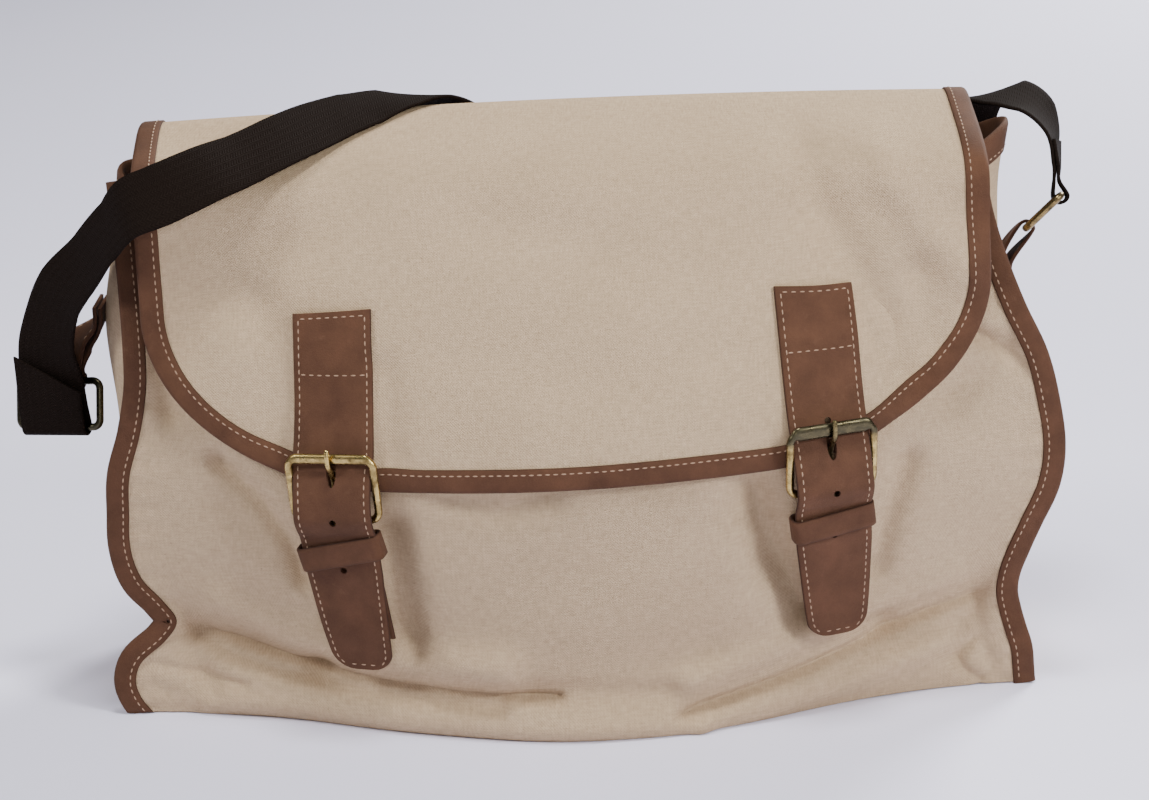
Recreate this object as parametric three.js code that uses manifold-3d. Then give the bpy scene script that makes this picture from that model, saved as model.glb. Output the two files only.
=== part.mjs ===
// A canvas crossbody bag: a stuffed cloth body with leather-bound seams, a flap held down by two
// buckled straps, and a webbing shoulder strap between two side rings.
// Millimetres, +Z up, the front faces -Y. The origin is the middle of the base, on the floor.

import * as THREE from 'three';
import { mergeVertices } from 'three/addons/utils/BufferGeometryUtils.js';
import Module from 'manifold-3d';

const wasm = await Module();
wasm.setup();

// Driving dimensions
const CANVAS = 1.6;
const LEATHER = 2.2;
const TAB_LEATHER = 1.8;
const BINDING_WIDTH = 11.5;
const BINDING_THICKNESS = 3.4;
const GAP = 0.4;
const WIRE = 4;
const WIRE_EDGE = 0.28;
const GUSSET_TOP = 274;
const GUSSET_CROWN = { left: 5, right: 11 };
const SEAM_TOP = 285;
const FRONT_CENTRE = 8;
const FLAP_HALF_WIDTH = 215;
const FLAP_CORNER_WIDTH = 118;
const FLAP_CORNER_HEIGHT = 92;
const FLAP_SKEW = 0.021;
const FLAP_RIDGE = { drop: 52, reach: 58, crown: 4, tilt: 0.008, flare: 6 };
const STRAP_WIDTH = 38;
const STRAP_TIP_WIDTH = 28;
const STRAP_TIP_TAPER_FROM = 98;
const STRAP_TIP_CORNER = 10;
const STRAP_HOLE = 3.6;
const PRONG_SLOT = { width: 5, length: 15, z: 151 };
const BUCKLE = { width: 48.5, heelZ: 127, barZ: 159.5, heelOut: 2.6, barOut: 10, corner: 7 };
const PRONG_DIAMETER = 2.8;
const KEEPER = { width: 46, band: 13, z: 110, back: -4.3, front: 10, tilt: 0.065, corner: 3.2 };
const BUCKLE_TAB_WIDTH = 31;
const TAB_SLOT = { width: 9, height: 16, lift: 3.5 };
const SIDE_TAB_WIDTH = 28;
const RING = { width: 52, height: 28.4, corner: 6 };
const WEBBING_WIDTH = 38;
const WEBBING_THICKNESS = 1.8;

// Front of the body from the floor up: the two side seams, how far forward (-y) the seams and the
// middle stand, and how full the bulge is between them (1 is a plain wave, less is fuller).
const FRONT_ROWS = [
  { z: 0, left: -227, right: 232, seam: -54, middle: -104, fullness: 1 },
  { z: 10, left: -233, right: 231, seam: -55, middle: -108, fullness: 0.98 },
  { z: 20, left: -235, right: 230, seam: -55, middle: -110, fullness: 0.95 },
  { z: 30, left: -231, right: 227, seam: -54, middle: -109, fullness: 0.92 },
  { z: 41, left: -218, right: 224, seam: -53, middle: -107, fullness: 0.88 },
  { z: 52, left: -211, right: 222, seam: -53, middle: -107, fullness: 0.84 },
  { z: 64, left: -217, right: 223, seam: -54, middle: -109, fullness: 0.79 },
  { z: 78, left: -227, right: 227, seam: -56, middle: -111, fullness: 0.74 },
  { z: 96, left: -231, right: 234, seam: -58, middle: -113, fullness: 0.7 },
  { z: 116, left: -230, right: 242, seam: -59, middle: -114, fullness: 0.67 },
  { z: 136, left: -228, right: 244, seam: -60, middle: -113, fullness: 0.65 },
  { z: 158, left: -221, right: 241, seam: -59, middle: -109, fullness: 0.64 },
  { z: 182, left: -216, right: 235, seam: -57, middle: -100, fullness: 0.62 },
  { z: 206, left: -215, right: 224, seam: -54, middle: -88, fullness: 0.6 },
  { z: 230, left: -216, right: 215, seam: -47, middle: -74, fullness: 0.58 },
  { z: 256, left: -218, right: 208, seam: -37, middle: -57, fullness: 0.55 },
  { z: 285, left: -221, right: 205, seam: -26, middle: -34, fullness: 0.5 },
];

// Back of the body in the same terms. It stands a little taller than the front.
const BACK_ROWS = [
  { z: 0, left: -222, right: 222, seam: 60, middle: 66 },
  { z: 30, left: -222, right: 221, seam: 60, middle: 71 },
  { z: 78, left: -224, right: 223, seam: 59, middle: 76 },
  { z: 136, left: -226, right: 226, seam: 57, middle: 77 },
  { z: 206, left: -219, right: 221, seam: 49, middle: 66 },
  { z: 256, left: -211, right: 214, seam: 42, middle: 50 },
  { z: 285, left: -209, right: 212, seam: 39, middle: 41 },
  { z: 290, left: -208, right: 211, seam: 38, middle: 40 },
];

// How far each gusset bellies out past the straight line between its front and back seams.
const GUSSET_ROWS = [
  { z: 0, left: 2, right: 2 },
  { z: 30, left: 5, right: 3 },
  { z: 52, left: 14, right: 6 },
  { z: 78, left: 7, right: 5 },
  { z: 116, left: 6, right: 3 },
  { z: 158, left: 18, right: 3 },
  { z: 206, left: 27, right: 9 },
  { z: 256, left: 17, right: 18 },
  { z: 285, left: 8, right: 27 },
];

// Folds of the front panel: a line from one place to another, the fold's half width, and how deep it
// is pressed in (a negative depth stands out).
const FRONT_FOLDS = [
  { fromX: -214, fromZ: 54, toX: -135, toZ: 30, width: 9, depth: 9 },
  { fromX: -135, fromZ: 30, toX: 45, toZ: 23, width: 8, depth: 6 },
  { fromX: 220, fromZ: 58, toX: 160, toZ: 42, width: 10, depth: 7 },
  { fromX: 160, fromZ: 42, toX: 62, toZ: 18, width: 9, depth: 6 },
  { fromX: 216, fromZ: 52, toX: 198, toZ: 20, width: 8, depth: 5 },
  { fromX: -206, fromZ: 44, toX: -196, toZ: 16, width: 8, depth: 5 },
  { fromX: -178, fromZ: 128, toX: -148, toZ: 92, width: 13, depth: 4 },
  { fromX: 84, fromZ: 122, toX: 98, toZ: 88, width: 11, depth: 4 },
  { fromX: 226, fromZ: 186, toX: 196, toZ: 168, width: 12, depth: 4 },
];

// The flap from its hem behind the back, over the top and down the front. The lower rows lie a little
// clear of the body, more so at the sides. Rows below the edge carry on the same surface for the tails.
const FLAP_ROWS = [
  { z: 268, behind: 4.2 },
  { z: 290, behind: 4.2 },
  { z: 303, y: 30 },
  { z: 300, y: 2 },
  { z: 284, clear: 9, side: 17 },
  { z: 256, clear: 8, side: 15 },
  { z: 230, clear: 7, side: 10 },
  { z: 206, clear: 6, side: 8 },
  { z: 182, clear: 6, side: 9 },
  { z: 158, clear: 6, side: 9 },
  { z: 141, clear: 6, side: 9 },
  { z: 112, clear: 6, side: 9 },
  { z: 80, clear: 6, side: 9 },
  { z: 34, clear: 6, side: 9 },
];
const FLAP_EDGE_ROW = 10;

// Soft dents of the flap, written as the front panel's folds are.
const FLAP_FOLDS = [
  { fromX: 152, fromZ: 284, toX: 122, toZ: 214, width: 17, depth: 4 },
  { fromX: 188, fromZ: 278, toX: 184, toZ: 222, width: 9, depth: -2.5 },
  { fromX: -40, fromZ: 262, toX: 60, toZ: 236, width: 26, depth: 2 },
];

// Middle line of each closing strap: where it crosses the flap's edge, how it leans (mm of x for each mm
// down) and how far its tail swings aside over the length below the flap.
const CLOSURES = [
  { name: 'left', x: -118, lean: -0.015, swing: 13 },
  { name: 'right', x: 129, lean: 0.055, swing: 0 },
];
const TAIL_LENGTH = 92;

// The closing strap from its sewn top to its tip, by height and by its distance out from the flap.
const STRAP_ROWS = [
  { z: 226, out: 3.6 },
  { z: 202, out: 3.6 },
  { z: 180, out: 3.4 },
  { z: 166, out: 4 },
  { z: 152, out: 6.6 },
  { z: 142, out: 8.8 },
  { z: 134, out: 9.7 },
  { z: 128, out: 9.8 },
  { z: 123, out: 8.2 },
  { z: 118.5, out: 5.6 },
  { z: 110, out: 3.6 },
  { z: 98, out: 3.2 },
  { z: 72, out: 2.6 },
  { z: 46, out: 1.4 },
];
const STRAP_HOLE_HEIGHTS = [166, 137, 100];

// The tab that carries the buckle, from its sewn foot up to the heel bar, in the same terms.
const BUCKLE_TAB_ROWS = [
  { z: 58, out: -3.2 },
  { z: 78, out: -2.2 },
  { z: 96, out: -0.9 },
  { z: 108, out: -0.5 },
  { z: 117, out: -0.9 },
];

// Prong from the hook under the heel bar, up behind the strap, through its slot and over the top bar.
// Both columns are measured from the heel bar.
const PRONG_ROWS = [
  { out: 1.2, up: -3.6 },
  { out: -2.5, up: -2.9 },
  { out: -3.8, up: 0 },
  { out: -2.4, up: 3.2 },
  { out: 0.4, up: 7 },
  { out: 1.7, up: 13 },
  { out: 2, up: 20 },
  { out: 6.6, up: 25.5 },
  { out: 10.2, up: 29 },
  { out: 11.6, up: 33 },
  { out: 11.5, up: 38 },
];

// Each side ring: its centre, the direction of its two long bars, the direction from the bar in the leather
// tab to the bar in the webbing, and the leather tab from the gusset, round the first bar and back.
// A tab row lies off the gusset by its out, or round the bar by its turn. Its twist is the share of its
// width that is turned from the gusset to the bar.
const RINGS = [
  {
    name: 'left',
    centre: [-270, -12, 161.5],
    bar: [-0.94, 0.33, -0.07],
    towards: [-0.031, -0.3, -1],
    tab: [
      { y: -2, z: 214, out: 2.2, twist: 0 },
      { y: -2, z: 203, out: 2.2, twist: 0 },
      { x: -255, y: -2, z: 193, twist: 0.45 },
      { x: -266, y: -4.5, z: 182, twist: 0.95 },
      { turn: -1.6, twist: 1 },
      { turn: -0.8, twist: 1 },
      { turn: 0, twist: 1 },
      { turn: 0.8, twist: 1 },
      { turn: 1.6, twist: 1 },
      { x: -268, y: -10.5, z: 183, twist: 0.95 },
      { x: -259, y: -7, z: 195, twist: 0.45 },
      { y: -4, z: 205, out: 5, twist: 0 },
      { y: -4, z: 215, out: 5, twist: 0 },
    ],
  },
  {
    name: 'right',
    centre: [254, 8, 242.5],
    bar: [0.16, 0.955, -0.25],
    towards: [0.732, 0.055, 0.679],
    tab: [
      { y: 8, z: 198, out: 2.2, twist: 0 },
      { y: 8, z: 210, out: 2.2, twist: 0 },
      { y: 8, z: 222, out: 4, twist: 0.5 },
      { turn: -1.6, twist: 1 },
      { turn: -0.8, twist: 1 },
      { turn: 0, twist: 1 },
      { turn: 0.8, twist: 1 },
      { turn: 1.6, twist: 1 },
      { y: 8, z: 217, out: 8, twist: 0.5 },
      { y: 8, z: 208, out: 5.4, twist: 0 },
      { y: 8, z: 196, out: 5, twist: 0 },
    ],
  },
];

// Middle line of the shoulder strap from its sewn end at the left ring, over the flap, down and up again
// behind the back, to its sewn end at the right ring. The last three columns point across its width.
// A row at a ring lies round the ring's second bar, at an angle from the line away from the first bar.
const SHOULDER_ROUTE = [
  { x: -273.6, y: -20, z: 180, acrossX: -0.94, acrossY: 0.33, acrossZ: -0.07 },
  { x: -273.6, y: -19.6, z: 166, acrossX: -0.94, acrossY: 0.33, acrossZ: -0.07 },
  { ring: 'left', around: 1.57 },
  { ring: 'left', around: 0.79 },
  { ring: 'left', around: 0 },
  { ring: 'left', around: -0.79 },
  { ring: 'left', around: -1.57 },
  { x: -272, y: -13, z: 162, acrossX: -0.94, acrossY: 0.33, acrossZ: -0.07 },
  { x: -272.5, y: -15.8, z: 178, acrossX: -0.94, acrossY: 0.34, acrossZ: -0.07 },
  { x: -272.5, y: -18.5, z: 195, acrossX: -0.84, acrossY: 0.52, acrossZ: -0.05 },
  { x: -268.5, y: -21, z: 211, acrossX: -0.74, acrossY: 0.64, acrossZ: 0.05 },
  { x: -262, y: -26, z: 225, acrossX: -0.66, acrossY: 0.7, acrossZ: 0.2 },
  { x: -247, y: -38, z: 243, acrossX: -0.47, acrossY: 0.83, acrossZ: 0.28 },
  { x: -230, y: -54, z: 264, acrossX: -0.32, acrossY: 0.84, acrossZ: 0.42 },
  { x: -216.5, y: -61.5, z: 278.2, acrossX: -0.32, acrossY: 0.76, acrossZ: 0.56 },
  { x: -200, y: -60, z: 284, acrossX: -0.33, acrossY: 0.7, acrossZ: 0.62 },
  { x: -178, y: -49, z: 291, acrossX: -0.4, acrossY: 0.74, acrossZ: 0.53 },
  { x: -158, y: -33, z: 296, acrossX: -0.42, acrossY: 0.8, acrossZ: 0.42 },
  { x: -139, y: -18, z: 302, acrossX: -0.4, acrossY: 0.82, acrossZ: 0.4 },
  { x: -121, y: -2, z: 307, acrossX: -0.4, acrossY: 0.85, acrossZ: 0.34 },
  { x: -104, y: 14, z: 312, acrossX: -0.4, acrossY: 0.88, acrossZ: 0.25 },
  { x: -85, y: 32, z: 315, acrossX: -0.42, acrossY: 0.9, acrossZ: 0.02 },
  { x: -67, y: 48, z: 309, acrossX: -0.52, acrossY: 0.8, acrossZ: -0.28 },
  { x: -53, y: 57, z: 290, acrossX: -0.76, acrossY: 0.45, acrossZ: -0.47 },
  { x: -38, y: 62, z: 262, acrossX: -0.86, acrossY: 0.12, acrossZ: -0.5 },
  { x: -22, y: 67, z: 228, acrossX: -0.88, acrossY: 0.08, acrossZ: -0.47 },
  { x: -4, y: 74, z: 190, acrossX: -0.87, acrossY: 0.04, acrossZ: -0.49 },
  { x: 20, y: 79.5, z: 150, acrossX: -0.8, acrossY: 0, acrossZ: -0.6 },
  { x: 44, y: 80.5, z: 110, acrossX: -0.72, acrossY: 0, acrossZ: -0.69 },
  { x: 75, y: 79.5, z: 80, acrossX: -0.42, acrossY: 0, acrossZ: -0.91 },
  { x: 110, y: 77, z: 70, acrossX: 0.06, acrossY: 0, acrossZ: -1 },
  { x: 145, y: 73.5, z: 84, acrossX: 0.56, acrossY: 0, acrossZ: -0.83 },
  { x: 170, y: 70, z: 120, acrossX: 0.84, acrossY: 0, acrossZ: -0.54 },
  { x: 188, y: 64.5, z: 168, acrossX: 0.92, acrossY: 0, acrossZ: -0.38 },
  { x: 202, y: 58, z: 210, acrossX: 0.95, acrossY: 0.03, acrossZ: -0.32 },
  { x: 213, y: 56, z: 248, acrossX: 0.95, acrossY: 0.05, acrossZ: -0.3 },
  { x: 227.5, y: 56, z: 274, acrossX: 0.92, acrossY: 0.2, acrossZ: -0.3 },
  { x: 238, y: 46.5, z: 291, acrossX: 0.72, acrossY: 0.64, acrossZ: -0.24 },
  { x: 247, y: 31.5, z: 297.5, acrossX: 0.45, acrossY: 0.87, acrossZ: -0.2 },
  { x: 255.5, y: 22, z: 289, acrossX: 0.3, acrossY: 0.93, acrossZ: -0.2 },
  { x: 259.5, y: 13.5, z: 272, acrossX: 0.18, acrossY: 0.96, acrossZ: -0.23 },
  { ring: 'right', around: 3.96 },
  { ring: 'right', around: 3.17 },
  { ring: 'right', around: 2.39 },
  { ring: 'right', around: 1.6 },
  { ring: 'right', around: 0.81 },
  { x: 264.5, y: 11, z: 268, acrossX: 0.17, acrossY: 0.955, acrossZ: -0.24 },
  { x: 262.4, y: 15.3, z: 281, acrossX: 0.2, acrossY: 0.95, acrossZ: -0.22 },
];
const WEBBING_ASIDE = { left: 2, right: 0 };

// Smooth value of one column at a place between the rows: a cubic that passes through every row.
function valueAt(rows, key, column, place) {
  let i = 0;
  while (i < rows.length - 2 && rows[i + 1][key] < place) i += 1;
  const slope = (j) => {
    const before = rows[Math.max(j - 1, 0)];
    const after = rows[Math.min(j + 1, rows.length - 1)];
    return (after[column] - before[column]) / (after[key] - before[key]);
  };
  const span = rows[i + 1][key] - rows[i][key];
  const t = (place - rows[i][key]) / span;
  if (t < 0) return rows[i][column] + slope(i) * t * span;
  if (t > 1) return rows[i + 1][column] + slope(i + 1) * (t - 1) * span;
  const rise = rows[i + 1][column] - rows[i][column];
  const bend = slope(i) * span * t * (1 - t) * (1 - t) - slope(i + 1) * span * t * t * (1 - t);
  return rows[i][column] + rise * t * t * (3 - 2 * t) + bend;
}

// Depth of the folds at one place on a panel: each is a soft groove that fades past its two ends.
function foldDepth(folds, x, z) {
  let depth = 0;
  for (const fold of folds) {
    const alongX = fold.toX - fold.fromX;
    const alongZ = fold.toZ - fold.fromZ;
    const share = ((x - fold.fromX) * alongX + (z - fold.fromZ) * alongZ) / (alongX ** 2 + alongZ ** 2);
    const nearest = THREE.MathUtils.clamp(share, 0, 1);
    const away = Math.hypot(x - fold.fromX - nearest * alongX, z - fold.fromZ - nearest * alongZ);
    depth += fold.depth * Math.exp(-((away / fold.width) ** 2));
  }
  return depth;
}

const lerp = THREE.MathUtils.lerp;
const steps = (from, to, count) => Array.from({ length: count + 1 }, (_, i) => lerp(from, to, i / count));

// Closed wall: a surface of two parameters, thickened by half to each side and flat where it meets
// the floor.
function wall(surface, us, vs, thickness) {
  const positions = [];
  const stepU = (us.at(-1) - us[0]) * 1e-3;
  const stepV = (vs.at(-1) - vs[0]) * 1e-3;
  for (const side of [0.5, -0.5]) {
    for (const v of vs) {
      for (const u of us) {
        const alongU = surface(u + stepU, v).sub(surface(u - stepU, v));
        const alongV = surface(u, v + stepV).sub(surface(u, v - stepV));
        const normal = alongU.cross(alongV).normalize();
        const p = surface(u, v).addScaledVector(normal, side * thickness);
        positions.push(p.x, p.y, Math.max(p.z, 0));
      }
    }
  }
  return closedGrid(positions, us.length, vs.length);
}

// Joins two matching grids of points, one behind the other, into one closed body.
function closedGrid(positions, across, along) {
  const at = (layer, i, j) => (layer * along + j) * across + i;
  const quads = [];
  for (let j = 0; j < along - 1; j += 1) {
    for (let i = 0; i < across - 1; i += 1) {
      quads.push([at(0, i, j), at(0, i + 1, j), at(0, i + 1, j + 1), at(0, i, j + 1)]);
      quads.push([at(1, i, j), at(1, i, j + 1), at(1, i + 1, j + 1), at(1, i + 1, j)]);
    }
    quads.push([at(0, 0, j), at(0, 0, j + 1), at(1, 0, j + 1), at(1, 0, j)]);
    const end = across - 1;
    quads.push([at(0, end, j), at(1, end, j), at(1, end, j + 1), at(0, end, j + 1)]);
  }
  for (let i = 0; i < across - 1; i += 1) {
    quads.push([at(0, i, 0), at(1, i, 0), at(1, i + 1, 0), at(0, i + 1, 0)]);
    const end = along - 1;
    quads.push([at(0, i, end), at(0, i + 1, end), at(1, i + 1, end), at(1, i, end)]);
  }
  const index = quads.flatMap(([a, b, c, d]) => [a, b, c, a, c, d]);
  const geometry = new THREE.BufferGeometry();
  geometry.setAttribute('position', new THREE.Float32BufferAttribute(positions, 3));
  geometry.setIndex(facingOut(positions, index));
  geometry.computeVertexNormals();
  return geometry;
}

// Turns every triangle round if the body would otherwise be inside out.
function facingOut(positions, index) {
  const point = (i) => new THREE.Vector3().fromArray(positions, 3 * i);
  let volume = 0;
  for (let t = 0; t < index.length; t += 3) {
    volume += point(index[t]).dot(point(index[t + 1]).cross(point(index[t + 2])));
  }
  return volume > 0 ? index : index.reverse();
}

// Solids for cutting
function solidOf(geometry) {
  const bare = geometry.clone();
  bare.deleteAttribute('normal');
  bare.deleteAttribute('uv');
  const merged = mergeVertices(bare, 1e-4);
  const vertProperties = new Float32Array(merged.attributes.position.array);
  const triVerts = new Uint32Array(merged.index.array);
  return new wasm.Manifold(new wasm.Mesh({ numProp: 3, vertProperties, triVerts }));
}

function cutAway(geometry, cutters) {
  let solid = solidOf(geometry);
  for (const cutter of cutters) solid = solid.subtract(solidOf(cutter));
  const mesh = solid.getMesh();
  const cut = new THREE.BufferGeometry();
  cut.setAttribute('position', new THREE.BufferAttribute(mesh.vertProperties, 3));
  cut.setIndex(new THREE.BufferAttribute(mesh.triVerts, 1));
  cut.computeVertexNormals();
  return cut;
}

// Smooth front of the body: a raised wave between the two seams, strongest right of the middle.
function frontDepth(x, z) {
  const edge = valueAt(FRONT_ROWS, 'z', x < FRONT_CENTRE ? 'left' : 'right', z);
  const share = Math.min(1, Math.abs((x - FRONT_CENTRE) / (edge - FRONT_CENTRE)));
  const wave = Math.max(0, Math.cos((Math.PI / 2) * share));
  const swell = wave ** (2 * valueAt(FRONT_ROWS, 'z', 'fullness', z));
  return lerp(valueAt(FRONT_ROWS, 'z', 'seam', z), valueAt(FRONT_ROWS, 'z', 'middle', z), swell);
}

// Front panel by its share across, from -1 at the left seam to 1 at the right one, and by height.
function frontPoint(share, z) {
  const edge = valueAt(FRONT_ROWS, 'z', share < 0 ? 'left' : 'right', z);
  const x = FRONT_CENTRE + Math.abs(share) * (edge - FRONT_CENTRE);
  return new THREE.Vector3(x, frontDepth(x, z) + foldDepth(FRONT_FOLDS, x, z) * (1 - share ** 8), z);
}

function backDepth(x, z) {
  const share = Math.min(1, Math.abs(x / valueAt(BACK_ROWS, 'z', x < 0 ? 'left' : 'right', z)));
  const swell = Math.cos((Math.PI / 2) * share);
  return lerp(valueAt(BACK_ROWS, 'z', 'seam', z), valueAt(BACK_ROWS, 'z', 'middle', z), swell);
}

function backPoint(share, z) {
  const x = Math.abs(share) * valueAt(BACK_ROWS, 'z', share < 0 ? 'left' : 'right', z);
  return new THREE.Vector3(x, backDepth(x, z), z);
}

// Gusset by its share from the front seam to the back one, and by height. Its top edge is crowned.
const GUSSET_INSET = BINDING_THICKNESS / 2 + GAP;
function gussetPoint(name, share, z) {
  const outward = name === 'left' ? -1 : 1;
  const frontX = valueAt(FRONT_ROWS, 'z', name, z);
  const backX = valueAt(BACK_ROWS, 'z', name, z);
  const belly = valueAt(GUSSET_ROWS, 'z', name, z) * Math.sin(Math.PI * share);
  const y = lerp(
    valueAt(FRONT_ROWS, 'z', 'seam', z) + GUSSET_INSET,
    valueAt(BACK_ROWS, 'z', 'seam', z) - GUSSET_INSET,
    share,
  );
  const crown = GUSSET_CROWN[name] * Math.sin(Math.PI * share) * (z / GUSSET_TOP) ** 8;
  return new THREE.Vector3(lerp(frontX, backX, share) + outward * (belly - CANVAS / 2), y, z + crown);
}

// Base by its shares across and from front to back. It fits inside the four walls.
const BASE_INSET = CANVAS / 2 + 2 * GAP;
function basePoint(across, depth) {
  const front = frontPoint(across, 0);
  const back = backPoint(across, 0);
  const sideways = Math.sign(across) * across ** 2 * (CANVAS + 2 * GAP);
  const x = lerp(front.x, back.x, depth) - sideways;
  return new THREE.Vector3(x, lerp(front.y + BASE_INSET, back.y - BASE_INSET, depth), CANVAS / 2);
}

// Leather folded over a side seam: a strip that starts at the seam and stands out square to it.
function seamStrip(rows, name) {
  const outward = name === 'left' ? -1 : 1;
  return (share, z) => {
    const x = valueAt(rows, 'z', name, z);
    const y = valueAt(rows, 'z', 'seam', z);
    const lean = valueAt(rows, 'z', name, z + 1) - valueAt(rows, 'z', name, z - 1);
    const square = new THREE.Vector3(2, 0, -lean).normalize().multiplyScalar(outward);
    return new THREE.Vector3(x, y, z).addScaledVector(square, lerp(GAP, GAP + BINDING_WIDTH, share));
  };
}

// Leather edge over the top of a gusset, standing up from it.
function topStrip(name) {
  return (share, rise) => {
    const p = gussetPoint(name, share, GUSSET_TOP);
    return p.setZ(p.z + lerp(GAP, BINDING_WIDTH * 0.65, rise));
  };
}

// Flap, by x and by the distance down from its hem along the middle line. Its ridge is crowned, rises to
// the right and flares at the left.
const flapDepth = (row, x) => {
  if (row.y !== undefined) return row.y;
  if (row.behind !== undefined) return backDepth(x, row.z) + row.behind;
  const spread = Math.min(1, Math.abs(x) / FLAP_HALF_WIDTH) ** 4;
  return frontDepth(x, Math.min(row.z, SEAM_TOP)) - row.clear - row.side * spread;
};
const FLAP_STATIONS = [];
for (const row of FLAP_ROWS) {
  const y = flapDepth(row, 0);
  const last = FLAP_STATIONS.at(-1);
  const drop = last ? last.drop + Math.hypot(y - last.y, row.z - last.z) : 0;
  FLAP_STATIONS.push({ ...row, y, drop });
}
const FLAP_LENGTH = FLAP_STATIONS[FLAP_EDGE_ROW].drop;

function flapPoint(x, drop) {
  const place = drop * (1 - (FLAP_SKEW * x) / FLAP_HALF_WIDTH);
  const stations = FLAP_ROWS.map((row, i) => ({ ...FLAP_STATIONS[i], y: flapDepth(row, x) }));
  const z = valueAt(stations, 'drop', 'z', place);
  const share = x / FLAP_HALF_WIDTH;
  const ridge = Math.exp(-(((drop - FLAP_RIDGE.drop) / FLAP_RIDGE.reach) ** 2));
  const lift = FLAP_RIDGE.crown * (1 - share ** 2) + FLAP_RIDGE.tilt * x;
  const p = new THREE.Vector3(x, valueAt(stations, 'drop', 'y', place) + foldDepth(FLAP_FOLDS, x, z), z);
  p.x += FLAP_RIDGE.flare * Math.min(0, share) * ridge;
  p.z += lift * ridge;
  return p;
}

// Distance down the flap's middle line to a height on the front.
function dropTo(z) {
  const after = FLAP_STATIONS.findIndex((s, i) => i > 3 && s.z < z);
  let low = FLAP_STATIONS[after - 1].drop;
  let high = FLAP_STATIONS[after].drop;
  for (let i = 0; i < 30; i += 1) {
    const middle = (low + high) / 2;
    if (valueAt(FLAP_STATIONS, 'drop', 'z', middle) > z) low = middle;
    else high = middle;
  }
  return low;
}

// Half width of the flap at a distance down, for an outline set in by a margin. Its corners are
// elliptic.
function flapHalfWidth(drop, margin) {
  const below = Math.max(0, drop - (FLAP_LENGTH - FLAP_CORNER_HEIGHT)) / (FLAP_CORNER_HEIGHT - margin);
  const corner = (FLAP_CORNER_WIDTH - margin) * Math.sqrt(Math.max(0, 1 - below ** 2));
  return FLAP_HALF_WIDTH - FLAP_CORNER_WIDTH + corner;
}

// Flap outline as x and drop, from the hem at the left, round the front edge, to the hem at the right.
const FLAP_SIDE_STEPS = 12;
const FLAP_CORNER_STEPS = 10;
const FLAP_EDGE_STEPS = 12;
function flapOutline(place, margin) {
  const side = FLAP_LENGTH - FLAP_CORNER_HEIGHT;
  const straight = FLAP_HALF_WIDTH - FLAP_CORNER_WIDTH;
  const half = FLAP_SIDE_STEPS + FLAP_CORNER_STEPS + FLAP_EDGE_STEPS / 2;
  const sign = place < half ? -1 : 1;
  const from = place < half ? place : 2 * half - place;
  if (from <= FLAP_SIDE_STEPS) return [sign * (FLAP_HALF_WIDTH - margin), (side * from) / FLAP_SIDE_STEPS];
  const turn = ((from - FLAP_SIDE_STEPS) / FLAP_CORNER_STEPS) * (Math.PI / 2);
  if (turn < Math.PI / 2) {
    const x = straight + (FLAP_CORNER_WIDTH - margin) * Math.cos(turn);
    return [sign * x, side + (FLAP_CORNER_HEIGHT - margin) * Math.sin(turn)];
  }
  const rest = (half - from) / (FLAP_EDGE_STEPS / 2);
  return [sign * straight * rest, FLAP_LENGTH - margin];
}

// A place on a closure: a across the strap, a distance down the flap and a distance out from it.
function closurePoint(closure, a, drop, out) {
  const below = drop - FLAP_LENGTH;
  const swing = closure.swing * (Math.max(0, below) / TAIL_LENGTH) ** 1.5;
  const x = closure.x + closure.lean * below + swing + a;
  const alongX = flapPoint(x + 1, drop).sub(flapPoint(x - 1, drop));
  const alongDrop = flapPoint(x, drop + 1).sub(flapPoint(x, drop - 1));
  const outward = alongDrop.cross(alongX).normalize();
  return flapPoint(x, drop).addScaledVector(outward, out);
}

// Rigid frame of a closure at one height: across the strap, up towards a second height and out from
// the bag.
function closureFrame(closure, z, towardsZ) {
  const drop = dropTo(z);
  const origin = closurePoint(closure, 0, drop, 0);
  const across = closurePoint(closure, 1, drop, 0).sub(closurePoint(closure, -1, drop, 0)).normalize();
  const up = closurePoint(closure, 0, dropTo(towardsZ), 0).sub(origin).normalize();
  const out = new THREE.Vector3().crossVectors(across, up).normalize();
  across.crossVectors(up, out);
  return new THREE.Matrix4().makeBasis(across, up, out).setPosition(origin);
}

const buckleFrameAt = (closure) => closureFrame(closure, BUCKLE.heelZ, BUCKLE.barZ);

// Path of a strap or tab over its rows, by share of the rows from 0 to 1.
function rowPath(rows) {
  const curve = new THREE.CatmullRomCurve3(rows.map((row) => new THREE.Vector3(row.z, row.out, 0)));
  return (share) => curve.getPoint(THREE.MathUtils.clamp(share, 0, 1));
}

function strapHalfWidth(z) {
  const rise = Math.max(0, z - STRAP_ROWS.at(-1).z);
  const taperLength = STRAP_TIP_TAPER_FROM - STRAP_ROWS.at(-1).z;
  const half = lerp(STRAP_TIP_WIDTH / 2, STRAP_WIDTH / 2, Math.min(1, rise / taperLength));
  const inCorner = Math.max(0, STRAP_TIP_CORNER - rise);
  return half - STRAP_TIP_CORNER + Math.sqrt(STRAP_TIP_CORNER ** 2 - inCorner ** 2);
}

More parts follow.
